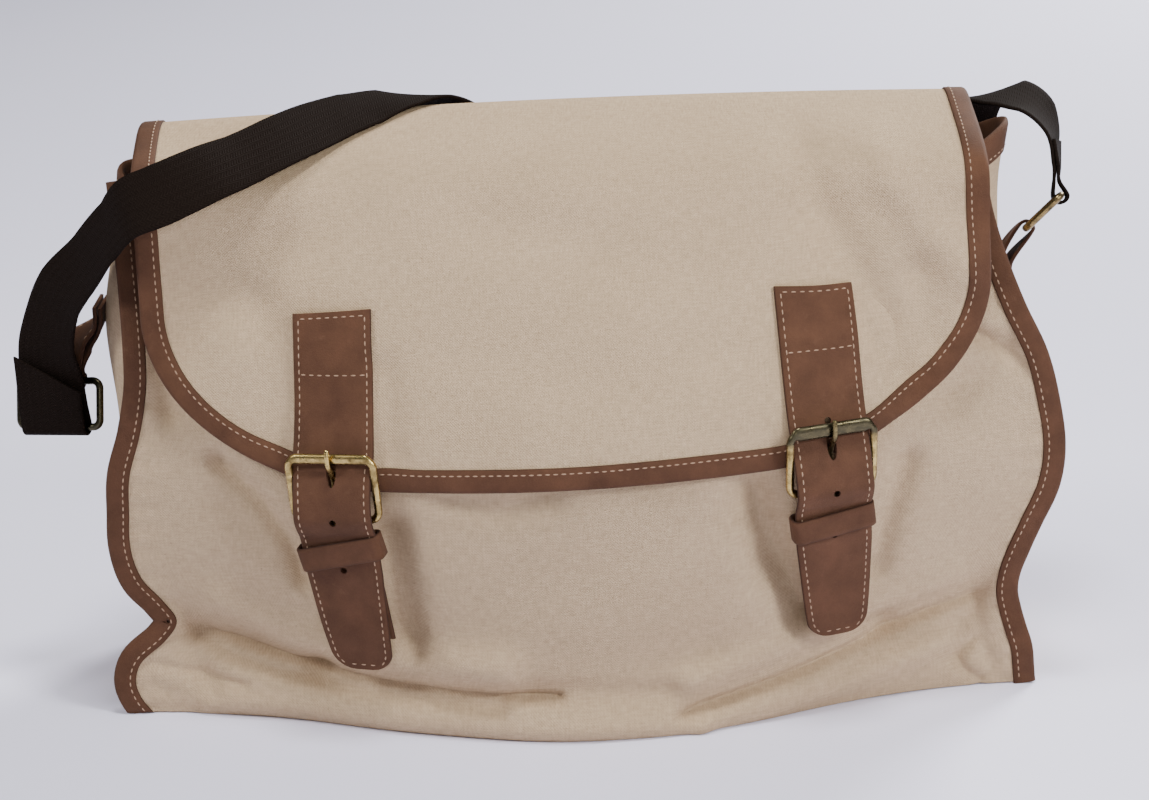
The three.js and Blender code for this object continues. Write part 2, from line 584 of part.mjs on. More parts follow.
const HOLE_LENGTH = 12;
function holeCutter(closure, z, width, length) {
  const drop = dropTo(z);
  const outline = new THREE.Shape().absellipse(0, 0, width / 2, length / 2, 0, 2 * Math.PI);
  const options = { depth: HOLE_LENGTH, bevelEnabled: false, curveSegments: 5 };
  const cutter = new THREE.ExtrudeGeometry(outline, options);
  const row = valueAt([...STRAP_ROWS].reverse(), 'z', 'out', z);
  const out = closurePoint(closure, 0, drop, 1).sub(closurePoint(closure, 0, drop, 0)).normalize();
  const across = closurePoint(closure, 1, drop, 0).sub(closurePoint(closure, -1, drop, 0)).normalize();
  const up = out.clone().cross(across);
  const place = closurePoint(closure, 0, drop, row).addScaledVector(out, -HOLE_LENGTH / 2);
  return cutter.applyMatrix4(new THREE.Matrix4().makeBasis(across, up, out).setPosition(place));
}

function closingStrap(closure) {
  const path = rowPath(STRAP_ROWS);
  const surface = (share, along) => {
    const p = path(along);
    return closurePoint(closure, share * strapHalfWidth(p.x), dropTo(p.x), p.y);
  };
  const strap = wall(surface, [-1, 0, 1], [...steps(0, 0.96, 24), 0.98, 0.99, 1], LEATHER);
  const holes = STRAP_HOLE_HEIGHTS.map((z) => holeCutter(closure, z, STRAP_HOLE, STRAP_HOLE));
  const slot = holeCutter(closure, PRONG_SLOT.z, PRONG_SLOT.width, PRONG_SLOT.length);
  return cutAway(strap, [...holes, slot]);
}

// Leather tab: up from its sewn foot, round the heel bar and down in front of it, slotted for the prong.
function buckleTab(closure) {
  const radius = WIRE / 2 + 2 * GAP + TAB_LEATHER / 2;
  const turns = steps(3.7, -0.9, 10).map((angle) => ({
    z: BUCKLE.heelZ + radius * Math.sin(angle),
    out: BUCKLE.heelOut + radius * Math.cos(angle),
  }));
  const path = rowPath([...BUCKLE_TAB_ROWS, ...turns]);
  const surface = (a, along) => {
    const p = path(along);
    return closurePoint(closure, a, dropTo(p.x), p.y);
  };
  const half = BUCKLE_TAB_WIDTH / 2;
  const tab = wall(surface, steps(-half, half, 2), steps(0, 1, 20), TAB_LEATHER);
  const { width, height, lift } = TAB_SLOT;
  const slot = new THREE.BoxGeometry(width, height, height).translate(0, lift, BUCKLE.heelOut + 1);
  return cutAway(tab, [slot.applyMatrix4(buckleFrameAt(closure))]);
}

// Rounded rectangle centred on the origin
function roundedRectangle(path, width, height, corner) {
  const x = width / 2;
  const y = height / 2;
  path.moveTo(-x + corner, -y);
  path.lineTo(x - corner, -y);
  path.absarc(x - corner, -y + corner, corner, -Math.PI / 2, 0);
  path.lineTo(x, y - corner);
  path.absarc(x - corner, y - corner, corner, 0, Math.PI / 2);
  path.lineTo(-x + corner, y);
  path.absarc(-x + corner, y - corner, corner, Math.PI / 2, Math.PI);
  path.lineTo(-x, -y + corner);
  path.absarc(-x + corner, -y + corner, corner, Math.PI, 1.5 * Math.PI);
  return path;
}

// Wire bent to a rounded rectangle, lying flat, with its edges taken off
function wireLoop(width, height, corner) {
  const outline = roundedRectangle(new THREE.Shape(), width, height, corner);
  const inner = [width - 2 * WIRE, height - 2 * WIRE, corner - WIRE + 1];
  outline.holes.push(roundedRectangle(new THREE.Path(), ...inner));
  const edge = WIRE * WIRE_EDGE;
  const options = { depth: WIRE - 2 * edge, bevelThickness: edge, bevelSize: edge, bevelOffset: -edge };
  const loop = new THREE.ExtrudeGeometry(outline, { ...options, bevelSegments: 1, curveSegments: 2 });
  return loop.translate(0, 0, -options.depth / 2);
}

function buckleFrame(closure) {
  const rise = BUCKLE.barZ - BUCKLE.heelZ;
  const reach = BUCKLE.barOut - BUCKLE.heelOut;
  const height = Math.hypot(rise, reach) + WIRE;
  const frame = wireLoop(BUCKLE.width, height, BUCKLE.corner).translate(0, (height - WIRE) / 2, 0);
  frame.rotateX(Math.atan2(reach, rise)).translate(0, 0, BUCKLE.heelOut);
  return frame.applyMatrix4(buckleFrameAt(closure));
}

function buckleProng(closure) {
  const points = PRONG_ROWS.map((row) => new THREE.Vector3(0, row.up, BUCKLE.heelOut + row.out));
  const radius = PRONG_DIAMETER / 2;
  const section = new THREE.Shape().absarc(0, 0, radius, 0, 2 * Math.PI);
  const extrudePath = new THREE.CatmullRomCurve3(points);
  const prong = new THREE.ExtrudeGeometry(section, { steps: 18, extrudePath, curveSegments: 3 });
  return prong.applyMatrix4(buckleFrameAt(closure));
}

// Leather loop round the strap and its tab
function keeper(closure) {
  const depth = KEEPER.front - KEEPER.back;
  const outline = roundedRectangle(new THREE.Shape(), KEEPER.width, depth, KEEPER.corner);
  const inner = [KEEPER.width - 2 * TAB_LEATHER, depth - 2 * TAB_LEATHER, KEEPER.corner - TAB_LEATHER];
  outline.holes.push(roundedRectangle(new THREE.Path(), ...inner));
  const options = { depth: KEEPER.band, bevelEnabled: false, curveSegments: 3 };
  const band = new THREE.ExtrudeGeometry(outline, options);
  band.translate(0, 0, -KEEPER.band / 2).rotateX(Math.PI / 2).rotateZ(KEEPER.tilt);
  band.translate(0, 0, (KEEPER.front + KEEPER.back) / 2);
  return band.applyMatrix4(closureFrame(closure, KEEPER.z, KEEPER.z + KEEPER.band / 2));
}

// Flat strip along a route whose rows give the direction across it
function ribbon(rows, width, thickness, stepsPerRow) {
  const middle = new THREE.CatmullRomCurve3(rows.map((row) => new THREE.Vector3(row.x, row.y, row.z)));
  const acrossAt = (place) => {
    const i = Math.min(Math.floor(place), rows.length - 2);
    const from = new THREE.Vector3(rows[i].acrossX, rows[i].acrossY, rows[i].acrossZ);
    const to = new THREE.Vector3(rows[i + 1].acrossX, rows[i + 1].acrossY, rows[i + 1].acrossZ);
    return from.lerp(to, place - i);
  };
  const surface = (a, along) => {
    const share = THREE.MathUtils.clamp(along, 0, 1);
    const across = acrossAt(share * (rows.length - 1));
    const tangent = middle.getTangent(share);
    across.addScaledVector(tangent, -across.dot(tangent)).normalize();
    return middle.getPoint(share).addScaledVector(across, a);
  };
  const places = steps(0, 1, (rows.length - 1) * stepsPerRow);
  return wall(surface, [-width / 2, width / 2], places, thickness);
}

// Ring frame: across its bars, from the tab's bar to the webbing's, and square to both
function ringMatrix(ring) {
  const bar = new THREE.Vector3(...ring.bar).normalize();
  const towards = new THREE.Vector3(...ring.towards).normalize();
  const square = new THREE.Vector3().crossVectors(bar, towards);
  return new THREE.Matrix4().makeBasis(bar, towards, square).setPosition(...ring.centre);
}

// A place round one of the ring's long bars: outward 1 is the webbing's bar, -1 the tab's.
function roundBar(ring, outward, thickness, angle, aside) {
  const radius = WIRE / 2 + 2 * GAP + thickness / 2;
  const bar = (outward * (RING.height - WIRE)) / 2;
  const p = new THREE.Vector3(aside, bar + radius * Math.cos(angle), radius * Math.sin(angle));
  return p.applyMatrix4(ringMatrix(ring));
}

function sideRing(ring) {
  return wireLoop(RING.width, RING.height, RING.corner).applyMatrix4(ringMatrix(ring));
}

// Leather tab sewn on the gusset in two plies, looped through the ring
function sideTab(ring) {
  const outward = ring.name === 'left' ? -1 : 1;
  const rows = ring.tab.map((row) => {
    const p = new THREE.Vector3(row.x, row.y, row.z);
    if (row.turn !== undefined) {
      p.copy(roundBar(ring, -1, TAB_LEATHER, row.turn, 0));
    } else if (row.out !== undefined) {
      p.x = gussetPoint(ring.name, 0.5, row.z).x + outward * row.out;
    }
    const across = new THREE.Vector3(0, 1, 0).lerp(new THREE.Vector3(...ring.bar), row.twist);
    return { x: p.x, y: p.y, z: p.z, acrossX: across.x, acrossY: across.y, acrossZ: across.z };
  });
  return ribbon(rows, SIDE_TAB_WIDTH, TAB_LEATHER, 2);
}

// Webbing from ring to ring, turned round a bar of each
function shoulderStrap() {
  const rows = SHOULDER_ROUTE.map((row) => {
    if (row.around === undefined) return row;
    const ring = RINGS.find((each) => each.name === row.ring);
    const { x, y, z } = roundBar(ring, 1, WEBBING_THICKNESS, row.around, WEBBING_ASIDE[row.ring]);
    const [acrossX, acrossY, acrossZ] = ring.bar;
    return { x, y, z, acrossX, acrossY, acrossZ };
  });
  return ribbon(rows, WEBBING_WIDTH, WEBBING_THICKNESS, 2);
}

// Finishes
const canvas = { color: 0xbcaa94, roughness: 0.95, metalness: 0 };
const leather = { color: 0x7a4f3e, roughness: 0.75, metalness: 0 };
const brass = { color: 0x8a7646, roughness: 0.4, metalness: 1 };
const webbing = { color: 0x2c2421, roughness: 0.9, metalness: 0 };

const bag = new THREE.Group();
function add(name, geometry, finish) {
  const mesh = new THREE.Mesh(geometry, new THREE.MeshStandardMaterial(finish));
  mesh.name = name;
  bag.add(mesh);
}

// Canvas body
const ACROSS = steps(-1, 1, 20);
const SEAM_HEIGHTS = FRONT_ROWS.map((row) => row.z);
const GUSSET_HEIGHTS = [...SEAM_HEIGHTS.slice(0, -1), GUSSET_TOP];
const BACK_HEIGHTS = [...SEAM_HEIGHTS, BACK_ROWS.at(-1).z];
const TOP_BINDING_SHARES = [0.09, 0.95];
add('front_panel', wall(frontPoint, ACROSS, SEAM_HEIGHTS, CANVAS), canvas);
add('back_panel', wall(backPoint, steps(-1, 1, 10), BACK_HEIGHTS, CANVAS), canvas);
add('base_panel', wall(basePoint, ACROSS, steps(0, 1, 5), CANVAS), canvas);
for (const name of ['left', 'right']) {
  const gusset = (share, z) => gussetPoint(name, share, z);
  add(`gusset_${name}`, wall(gusset, steps(0, 1, 7), GUSSET_HEIGHTS, CANVAS), canvas);
  const front = wall(seamStrip(FRONT_ROWS, name), [0, 1], SEAM_HEIGHTS, BINDING_THICKNESS);
  const back = wall(seamStrip(BACK_ROWS, name), [0, 1], GUSSET_HEIGHTS, BINDING_THICKNESS);
  const top = wall(topStrip(name), steps(...TOP_BINDING_SHARES, 7), [0, 1], BINDING_THICKNESS);
  add(`seam_binding_${name}`, front, leather);
  add(`back_binding_${name}`, back, leather);
  add(`top_binding_${name}`, top, leather);
}

// Flap
const flapCanvas = (share, drop) => flapPoint(share * flapHalfWidth(drop, BINDING_WIDTH + GAP), drop);
const FLAP_CORNER_START = FLAP_LENGTH - FLAP_CORNER_HEIGHT;
const flapInset = FLAP_CORNER_HEIGHT - BINDING_WIDTH - GAP;
const cornerDrops = steps(0, Math.PI / 2, 7).map((turn) => FLAP_CORNER_START + flapInset * Math.sin(turn));
const FLAP_DROPS = [...steps(0, FLAP_CORNER_START, 10).slice(0, -1), ...cornerDrops];
add('flap', wall(flapCanvas, steps(-1, 1, 18), FLAP_DROPS, CANVAS), canvas);
const flapEdge = (share, place) => flapPoint(...flapOutline(place, share * BINDING_WIDTH));
const FLAP_EDGE_PLACES = 2 * (FLAP_SIDE_STEPS + FLAP_CORNER_STEPS) + FLAP_EDGE_STEPS;
const flapEdgePlaces = steps(0, FLAP_EDGE_PLACES, FLAP_EDGE_PLACES);
add('flap_binding', wall(flapEdge, [0, 1], flapEdgePlaces, BINDING_THICKNESS), leather);

// Closures
for (const closure of CLOSURES) {
  add(`closure_strap_${closure.name}`, closingStrap(closure), leather);
  add(`buckle_tab_${closure.name}`, buckleTab(closure), leather);
  add(`buckle_frame_${closure.name}`, buckleFrame(closure), brass);
  add(`buckle_prong_${closure.name}`, buckleProng(closure), brass);
  add(`keeper_${closure.name}`, keeper(closure), leather);
}

// Shoulder strap and what carries it
for (const ring of RINGS) {
  add(`side_tab_${ring.name}`, sideTab(ring), leather);
  add(`ring_${ring.name}`, sideRing(ring), brass);
}
add('shoulder_strap', shoulderStrap(), webbing);

export default bag;
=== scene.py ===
# %% [markdown]
# # A canvas crossbody bag
#
# This lesson dresses a simple solid model of a bag in cloth, leather, brass and webbing. The solid model
# already says where every piece sits. Each step below remakes one piece as a fine surface, because cloth
# and leather show their nature in small folds, rounded edges and rows of stitches.

# %% Load the frame
import math

import bpy
import numpy as np
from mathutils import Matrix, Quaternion, Vector


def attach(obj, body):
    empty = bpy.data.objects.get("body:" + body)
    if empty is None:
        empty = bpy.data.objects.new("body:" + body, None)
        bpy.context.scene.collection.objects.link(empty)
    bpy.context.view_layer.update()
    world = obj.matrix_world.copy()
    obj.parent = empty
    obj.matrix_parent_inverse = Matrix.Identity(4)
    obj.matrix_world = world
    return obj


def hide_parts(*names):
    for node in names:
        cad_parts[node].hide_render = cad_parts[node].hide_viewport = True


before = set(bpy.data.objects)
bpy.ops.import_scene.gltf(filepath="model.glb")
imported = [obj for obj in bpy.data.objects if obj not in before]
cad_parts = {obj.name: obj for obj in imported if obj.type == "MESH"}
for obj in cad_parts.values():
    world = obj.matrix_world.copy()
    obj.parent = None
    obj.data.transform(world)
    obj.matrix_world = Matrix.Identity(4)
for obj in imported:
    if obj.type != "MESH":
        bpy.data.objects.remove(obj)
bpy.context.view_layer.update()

MM = 0.001
print("solid parts to dress:", len(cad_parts))

# %% [markdown]
# ## The camera
#
# A product photograph is taken from far away with a long lens, so that the bag isn't distorted. The camera
# stands a little above the bag, looks down at it, and leans slightly to one side. It could be turned by
# hand, but an aim, a distance and two angles are easier to read and to change.

# %% Camera
AIM = Vector((0.003, -0.038, 0.162))
DISTANCE = 1.4
ELEVATION = math.radians(18)
LEAN = math.radians(-2)
LENS_MM = 84.1

view_from = Vector((0, -math.cos(ELEVATION), math.sin(ELEVATION))) * DISTANCE
camera_data = bpy.data.cameras.new("photo_camera")
camera_data.lens = LENS_MM
camera_data.sensor_width = 36
camera = bpy.data.objects.new("photo_camera", camera_data)
camera.location = AIM + view_from
camera.rotation_mode = "QUATERNION"
camera.rotation_quaternion = (-view_from).to_track_quat("-Z", "Y") @ Quaternion((0, 0, 1), LEAN)
bpy.context.scene.collection.objects.link(camera)
bpy.context.scene.camera = camera
print("camera stands", round(DISTANCE, 2), "m away")

# %% [markdown]
# ## Tools for soft shapes
#
# A sewn piece is a surface: a rule that turns two numbers, across and along, into a place in space. It
# could be pulled into shape by hand, but a short table of rows with a smooth curve through them is easier
# to correct. These tools run that curve, read such a table, and find which way a surface faces.

# %% Curves and directions
STEP = 0.002


def table(names, rows):
    """Columns by name: each row of numbers gives one value to every named column."""
    return dict(zip(names.split(), np.array(rows, float).T))


def smooth(keys, values, at):
    """A cubic through every row. Its slope at a row is the rise between its neighbours over their gap."""
    keys, values, at = np.asarray(keys, float), np.asarray(values, float), np.asarray(at, float)
    last = len(keys) - 1
    before = np.maximum(np.arange(last + 1) - 1, 0)
    after = np.minimum(np.arange(last + 1) + 1, last)
    gaps = (keys[after] - keys[before]).reshape((-1,) + (1,) * (values.ndim - 1))
    slopes = (values[after] - values[before]) / gaps
    row = np.clip(np.searchsorted(keys, at) - 1, 0, last - 1)

    def pick(columns, rows):
        return columns[rows] if columns.ndim == 1 else np.take_along_axis(columns, rows[None], 0)[0]

    span = keys[row + 1] - keys[row]
    t = (at - keys[row]) / span
    low, high = pick(values, row), pick(values, row + 1)
    leave, arrive = pick(slopes, row) * span, pick(slopes, row + 1) * span
    curve = low + (high - low) * t * t * (3 - 2 * t) + leave * t * (1 - t) ** 2 - arrive * t * t * (1 - t)
    return np.where(t < 0, low + leave * t, np.where(t > 1, high + arrive * (t - 1), curve))


def column_at(rows, name, z):
    """One column of a table at any height."""
    return smooth(rows["z"], rows[name], z)


def unit(vectors):
    """Vectors divided by their own lengths."""
    return vectors / np.maximum(np.linalg.norm(vectors, axis=-1, keepdims=True), 1e-9)


def place(*axes):
    """One array of points from arrays of x, y and z."""
    return np.stack(np.broadcast_arrays(*axes), -1).astype(float)


def curve_through(points, at):
    """A curve through points. Between two of them it is a cubic whose end slopes come from three points each,
    weighted by the square roots of their distances, so it neither loops nor overshoots."""
    points, at = np.asarray(points, float), np.asarray(at, float)
    ends = [2 * points[0] - points[1]], [2 * points[-1] - points[-2]]
    padded = np.concatenate([ends[0], points, ends[1]])
    row = np.clip(np.floor(at).astype(int), 0, len(points) - 2)
    t = (at - row)[..., None]
    p0, p1, p2, p3 = (padded[row + k] for k in range(4))
    steps = (p1 - p0, p2 - p1, p3 - p2)
    d0, d1, d2 = (np.sqrt(np.linalg.norm(step, axis=-1, keepdims=True)) for step in steps)
    leave = ((p1 - p0) / d0 - (p2 - p0) / (d0 + d1) + (p2 - p1) / d1) * d1
    arrive = ((p2 - p1) / d1 - (p3 - p1) / (d1 + d2) + (p3 - p2) / d2) * d1
    return (
        p1 + leave * t + (3 * (p2 - p1) - 2 * leave - arrive) * t ** 2
        + (2 * (p1 - p2) + leave + arrive) * t ** 3
    )


def facing(surface, across, along):
    """The way a surface faces: the cross product of its two directions, found by small steps."""
    sideways = surface(across + STEP, along) - surface(across - STEP, along)
    onward = surface(across, along + STEP) - surface(across, along - STEP)
    return unit(np.cross(sideways, onward))


print("curve tools ready")

# %% [markdown]
# ## Folds
#
# Cloth that is pinched at a seam folds, and the fold runs out into the panel. A cloth simulation could
# find such folds, but not the ones in a given picture. So each fold is drawn as a line and pressed into
# the surface.

# %% Folds and ripples
def crease_depth(creases, x, z):
    """Every crease is a hollow along a bent line, and the cloth above it may be pushed out into a lip: depth
    times a bell curve of the distance from the line, less lip times a wider one that lies above it."""
    total = np.zeros(np.broadcast(x, z).shape)
    for depth, width, lip, line in creases:
        away, above = np.full(total.shape, 1e6), np.zeros(total.shape)
        for (from_x, from_z), (to_x, to_z) in zip(line[:-1], line[1:]):
            run_x, run_z = to_x - from_x, to_z - from_z
            share = ((x - from_x) * run_x + (z - from_z) * run_z) / (run_x ** 2 + run_z ** 2)
            share = np.clip(share, 0, 1)
            near_x, near_z = x - from_x - share * run_x, z - from_z - share * run_z
            here = np.hypot(near_x, near_z)
            above = np.where(here < away, near_z / np.maximum(here, 0.1), above)
            away = np.minimum(here, away)
        total = total + depth * np.exp(-((away / width) ** 2))
        total = total - lip * (0.5 + 0.5 * above) * np.exp(-(((away - 2.2 * width) / (1.5 * width)) ** 2))
    return total


def ripple(x, z):
    """Cloth is never quite flat: two crossing waves, bent by a third, a fraction of a millimetre high."""
    bend = 9 * np.sin(z / 37 + x / 83)
    crossing = 0.55 * np.sin((x + bend) / 21) * np.sin(z / 26 + x / 90)
    return crossing + 0.3 * np.sin((x - 2 * z) / 17 + bend / 6)


def pucker(share, z, half_width):
    """Small gathers beside a seam: a wave along it that dies out over a few millimetres."""
    away = np.maximum(0, (1 - np.abs(share)) * half_width)
    return 0.7 * np.sin(z / 2.3 + 2 * np.sin(z / 19)) * np.exp(-away / 8) * np.clip(away / 2, 0, 1)


print("fold tools ready")

# %% [markdown]
# ## Putting a surface into the scene
#
# Each finished piece rides on the bag, takes the place of one solid part and says what it is made of. A
# piece that is cloth or leather also keeps a flat map of itself, in metres, so that threads run along the
# cloth and not through space. A mesh could be thickened by a modifier. Here a small outline is carried
# over the surface instead, so that each piece gets the edge that it has in leather or cloth.

# %% Grids of faces
def quads_of(rows, columns, loop=False):
    """The four corners of every cell in a grid of points. The last column is joined to the first, and in a
    loop the last row is too."""
    j, i = np.meshgrid(np.arange(rows if loop else rows - 1), np.arange(columns), indexing="ij")
    j1, i1 = (j + 1) % rows, (i + 1) % columns
    corners = [j * columns + i, j * columns + i1, j1 * columns + i1, j1 * columns + i]
    return np.stack(corners, -1).reshape(-1, 4)


def end_quads(columns, start):
    """A cap on an outline whose second half runs back along its first."""
    i = np.arange(columns // 2 - 1)
    return start + np.stack([i, i + 1, columns - 2 - i, columns - 1 - i], -1)


def outward(points, quads):
    """The faces turned so that the volume they enclose is positive."""
    a, b, c, d = (points[quads[:, k]] for k in range(4))
    volume = np.einsum("ij,ij->", a, np.cross(b, c)) + np.einsum("ij,ij->", a, np.cross(c, d))
    return quads if volume > 0 else quads[:, ::-1]


print("grid tools ready")

# %% [markdown]
# A piece could be made of loose faces, but every one here is a closed skin with faces that look outwards.
# Then it has an inside, and light, thickness and weight all work out. Corners sharper than a set angle
# stay crisp.

# %% Pieces
SHARP = math.radians(50)


def add_piece(name, points, quads, material, stands_for=(), flat=None, edge=None):
    """A mesh from points in millimetres and four-cornered faces, with its flat map and its edge mask. Nothing
    goes below the floor."""
    mesh = bpy.data.meshes.new(name)
    points[:, 2] = np.maximum(points[:, 2], 0)
    mesh.from_pydata((points * MM).tolist(), [], outward(points, quads).tolist())
    corners = np.empty(len(mesh.loops), np.int32)
    mesh.loops.foreach_get("vertex_index", corners)
    if flat is not None:
        layer = mesh.uv_layers.new(name="cloth")
        layer.data.foreach_set("uv", (flat[corners] * MM).astype(np.float32).ravel())
    if edge is not None:
        mesh.attributes.new("edge", "FLOAT", "POINT").data.foreach_set("value", edge.astype(np.float32))
    mesh.shade_smooth()
    mesh.set_sharp_from_angle(angle=SHARP)
    mesh.materials.append(material)
    piece = bpy.data.objects.new(name, mesh)
    bpy.context.scene.collection.objects.link(piece)
    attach(piece, "root")
    for node in stands_for:
        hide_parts(node)
    return piece


def add_grid(name, points, material, stands_for, loop=False, edge=None, flat=None):
    """A piece from a grid of points whose columns close on themselves. In a loop the rows close too, and
    otherwise both ends are capped."""
    rows, columns = points.shape[:2]
    quads = [quads_of(rows, columns, loop)]
    if not loop:
        quads += [end_quads(columns, 0), end_quads(columns, (rows - 1) * columns)[:, ::-1]]
    quads = np.concatenate(quads)
    edge = np.zeros(rows * columns) if edge is None else edge.ravel()
    flat = None if flat is None else flat.reshape(-1, 2)
    return add_piece(name, points.reshape(-1, 3), quads, material, stands_for, flat, edge)


print("piece tools ready")

# %% [markdown]
# Most pieces of the bag are strips or sheets. Such a piece is its outline, seen from the end, carried
# along its surface. A row of points close to each edge gives the edge its small rounding.

# %% Carried outlines
def carried(surface, outline, along):
    """An outline of (across, out) pairs carried over a surface: each point is the surface at across and
    along, moved out along the way the surface faces."""
    across, rows = np.meshgrid(outline[:, 0], along)
    return surface(across, rows) + facing(surface, across, rows) * outline[:, 1][None, :, None]


def sheet_outline(across, thickness, rounded=True):
    """There along one side of a sheet and back along the other. A rounded sheet is thinner at its edges."""
    half = np.full(len(across), thickness / 2)
    if rounded:
        half[[0, -1]] *= 0.35
    return np.concatenate([np.stack([across, half], -1), np.stack([across, -half], -1)[::-1]])


def near_ends(count, reach, edge):
    """Even steps from minus reach to reach, with one more step close to each end for a rounded edge."""
    inner = np.linspace(-reach + edge, reach - edge, count)
    return np.concatenate([[-reach], inner, [reach]])


def add_carried(name, surface, outline, along, material, stands_for, flat=None, edges=None):
    """A piece made by carrying an outline over a surface, capped at both ends."""
    across, down = np.meshgrid(outline[:, 0], along)
    flat = place(across, down) if flat is None else flat(across, down)
    edge = None if edges is None else edges(across, down)
    return add_grid(name, carried(surface, outline, along), material, stands_for, False, edge, flat)


print("outline tools ready")

# %% [markdown]
# ## Tools for materials
#
# A material is a small network of nodes. Effects such as a weave or a worn finish are node groups, which
# only work out numbers and colours. The material itself decides what those numbers do to its colour and
# shine. Nodes could be wired by hand in the editor, but a few helpers keep the same network short and
# readable.

# %% Node tools
def new_group(name, inputs, outputs):
    """An empty node group with named inputs and outputs. Returns its tree and its two end nodes."""
    tree = bpy.data.node_groups.new(name, "ShaderNodeTree")
    for label, kind, value in inputs:
        socket = tree.interface.new_socket(label, in_out="INPUT", socket_type=kind)
        if value is not None:
            socket.default_value = value
    for label, kind in outputs:
        tree.interface.new_socket(label, in_out="OUTPUT", socket_type=kind)
    return tree, tree.nodes.new("NodeGroupInput"), tree.nodes.new("NodeGroupOutput")


def put(tree, kind, values=(), **settings):
    """A node with its settings. Each value is a constant or the output of another node, in socket order."""
    node = tree.nodes.new(kind)
    for key, value in settings.items():
        setattr(node, key, value)
    for key, value in (values.items() if isinstance(values, dict) else enumerate(values)):
        if isinstance(value, bpy.types.NodeSocket):
            tree.links.new(value, node.inputs[key])
        elif value is not None:
            node.inputs[key].default_value = value
    return node


def maths(tree, operation, *values):
    """The result of one sum."""
    return put(tree, "ShaderNodeMath", values, operation=operation).outputs[0]


def spread(tree, value, low, high, to_low=0.0, to_high=1.0):
    """A value stretched from one range to another and held inside it."""
    return put(tree, "ShaderNodeMapRange", (value, low, high, to_low, to_high)).outputs[0]


def speckle(tree, vector, scale, detail=2.0, rough=0.5):
    """A cloudy pattern at so many lumps to the metre."""
    values = {"Vector": vector, "Scale": scale, "Detail": detail, "Roughness": rough}
    return put(tree, "ShaderNodeTexNoise", values).outputs[0]


def stretched(tree, vector, scale):
    """A place with each axis scaled by its own factor."""
    return put(tree, "ShaderNodeVectorMath", (vector, scale), operation="MULTIPLY").outputs[0]


print("node tools ready")

# %% [markdown]
# Every material here starts from one plain shader. These helpers mix two colours, bring in a node group,
# turn a height into a bump, and find the place on a piece that a pattern is drawn by.

# %% Material tools
def new_material(name):
    """A material with only its shader and its output. Returns the material, its tree and the shader."""
    material = bpy.data.materials.new(name)
    material.use_nodes = True
    tree = material.node_tree
    tree.nodes.clear()
    shader = tree.nodes.new("ShaderNodeBsdfPrincipled")
    output = tree.nodes.new("ShaderNodeOutputMaterial")
    tree.links.new(shader.outputs[0], output.inputs[0])
    return material, tree, shader


def use_group(tree, group, **values):
    """The outputs of a node group in a material, with its inputs set or linked."""
    return put(tree, "ShaderNodeGroup", values, node_tree=group).outputs


def blend(tree, share, first, second):
    """Two colours mixed by a share."""
    first, second = ((*colour, 1.0) if isinstance(colour, tuple) else colour for colour in (first, second))
    return put(tree, "ShaderNodeMix", {0: share, 6: first, 7: second}, data_type="RGBA").outputs[2]


def raise_bump(tree, shader, height, distance):
    """A height turned into a bumped normal on the shader."""
    values = {"Height": height, "Distance": distance, "Strength": 1.0}
    tree.links.new(put(tree, "ShaderNodeBump", values).outputs[0], shader.inputs["Normal"])


def flat_map(tree):
    """The piece's own flat map, in metres."""
    return put(tree, "ShaderNodeUVMap", uv_map="cloth").outputs[0]


def where_on(tree):
    """The place on the object, in metres."""
    return put(tree, "ShaderNodeTexCoord").outputs["Object"]


print("material tools ready")

# %% [markdown]
# ## Canvas
#
# The cloth is undyed cotton canvas. Its yarn is uneven, with thick places and stray dark fibres. A
# photograph of cloth could be laid over the panels, but it would repeat and stretch. Crossing waves along
# the flat map give threads that stay the same size everywhere, and cloudy noise gives the flecks.

# %% Canvas weave
def weave_group():
    """Over and under threads, thick places in the yarn, and stray dark fibres."""
    tree, start, end = new_group(
        "weave",
        [("Vector", "NodeSocketVector", None), ("Threads", "NodeSocketFloat", 1100.0),
         ("Slub", "NodeSocketFloat", 0.5)],
        [("Height", "NodeSocketFloat"), ("Shade", "NodeSocketFloat"), ("Fleck", "NodeSocketFloat")],
    )
    flat, threads, slub = start.outputs["Vector"], start.outputs["Threads"], start.outputs["Slub"]
    wander = speckle(tree, flat, 240.0)
    parts = put(tree, "ShaderNodeSeparateXYZ", (flat,))
    turns = maths(tree, "MULTIPLY", threads, math.pi)
    shift = maths(tree, "MULTIPLY", wander, 1.6)
    over = maths(tree, "SINE", maths(tree, "ADD", maths(tree, "MULTIPLY", parts.outputs[0], turns), shift))
    under = maths(tree, "SINE", maths(tree, "ADD", maths(tree, "MULTIPLY", parts.outputs[1], turns), shift))
    knuckle = maths(tree, "MULTIPLY", over, under)
    weft = speckle(tree, stretched(tree, flat, (170.0, 900.0, 1.0)), 1.0)
    warp = speckle(tree, stretched(tree, flat, (900.0, 170.0, 1.0)), 1.0)
    yarn = maths(tree, "ADD", weft, warp)
    uneven = maths(tree, "MULTIPLY", maths(tree, "SUBTRACT", yarn, 1.0), slub)
    tree.links.new(maths(tree, "ADD", maths(tree, "MULTIPLY", knuckle, 0.35), uneven), end.inputs["Height"])
    cloud = maths(tree, "MULTIPLY", maths(tree, "SUBTRACT", speckle(tree, flat, 22.0, 3.0), 0.5), 0.25)
    # The tone is mostly random yarn, plus a little painted shade: lighter where the threads cross up.
    tone = maths(tree, "ADD", maths(tree, "ADD", uneven, cloud), maths(tree, "MULTIPLY", knuckle, 0.08))
    tree.links.new(tone, end.inputs["Shade"])
    fibre = speckle(tree, stretched(tree, flat, (330.0, 620.0, 1.0)), 1.0, 3.0, 0.6)
    tree.links.new(spread(tree, fibre, 0.68, 0.76), end.inputs["Fleck"])
    return tree


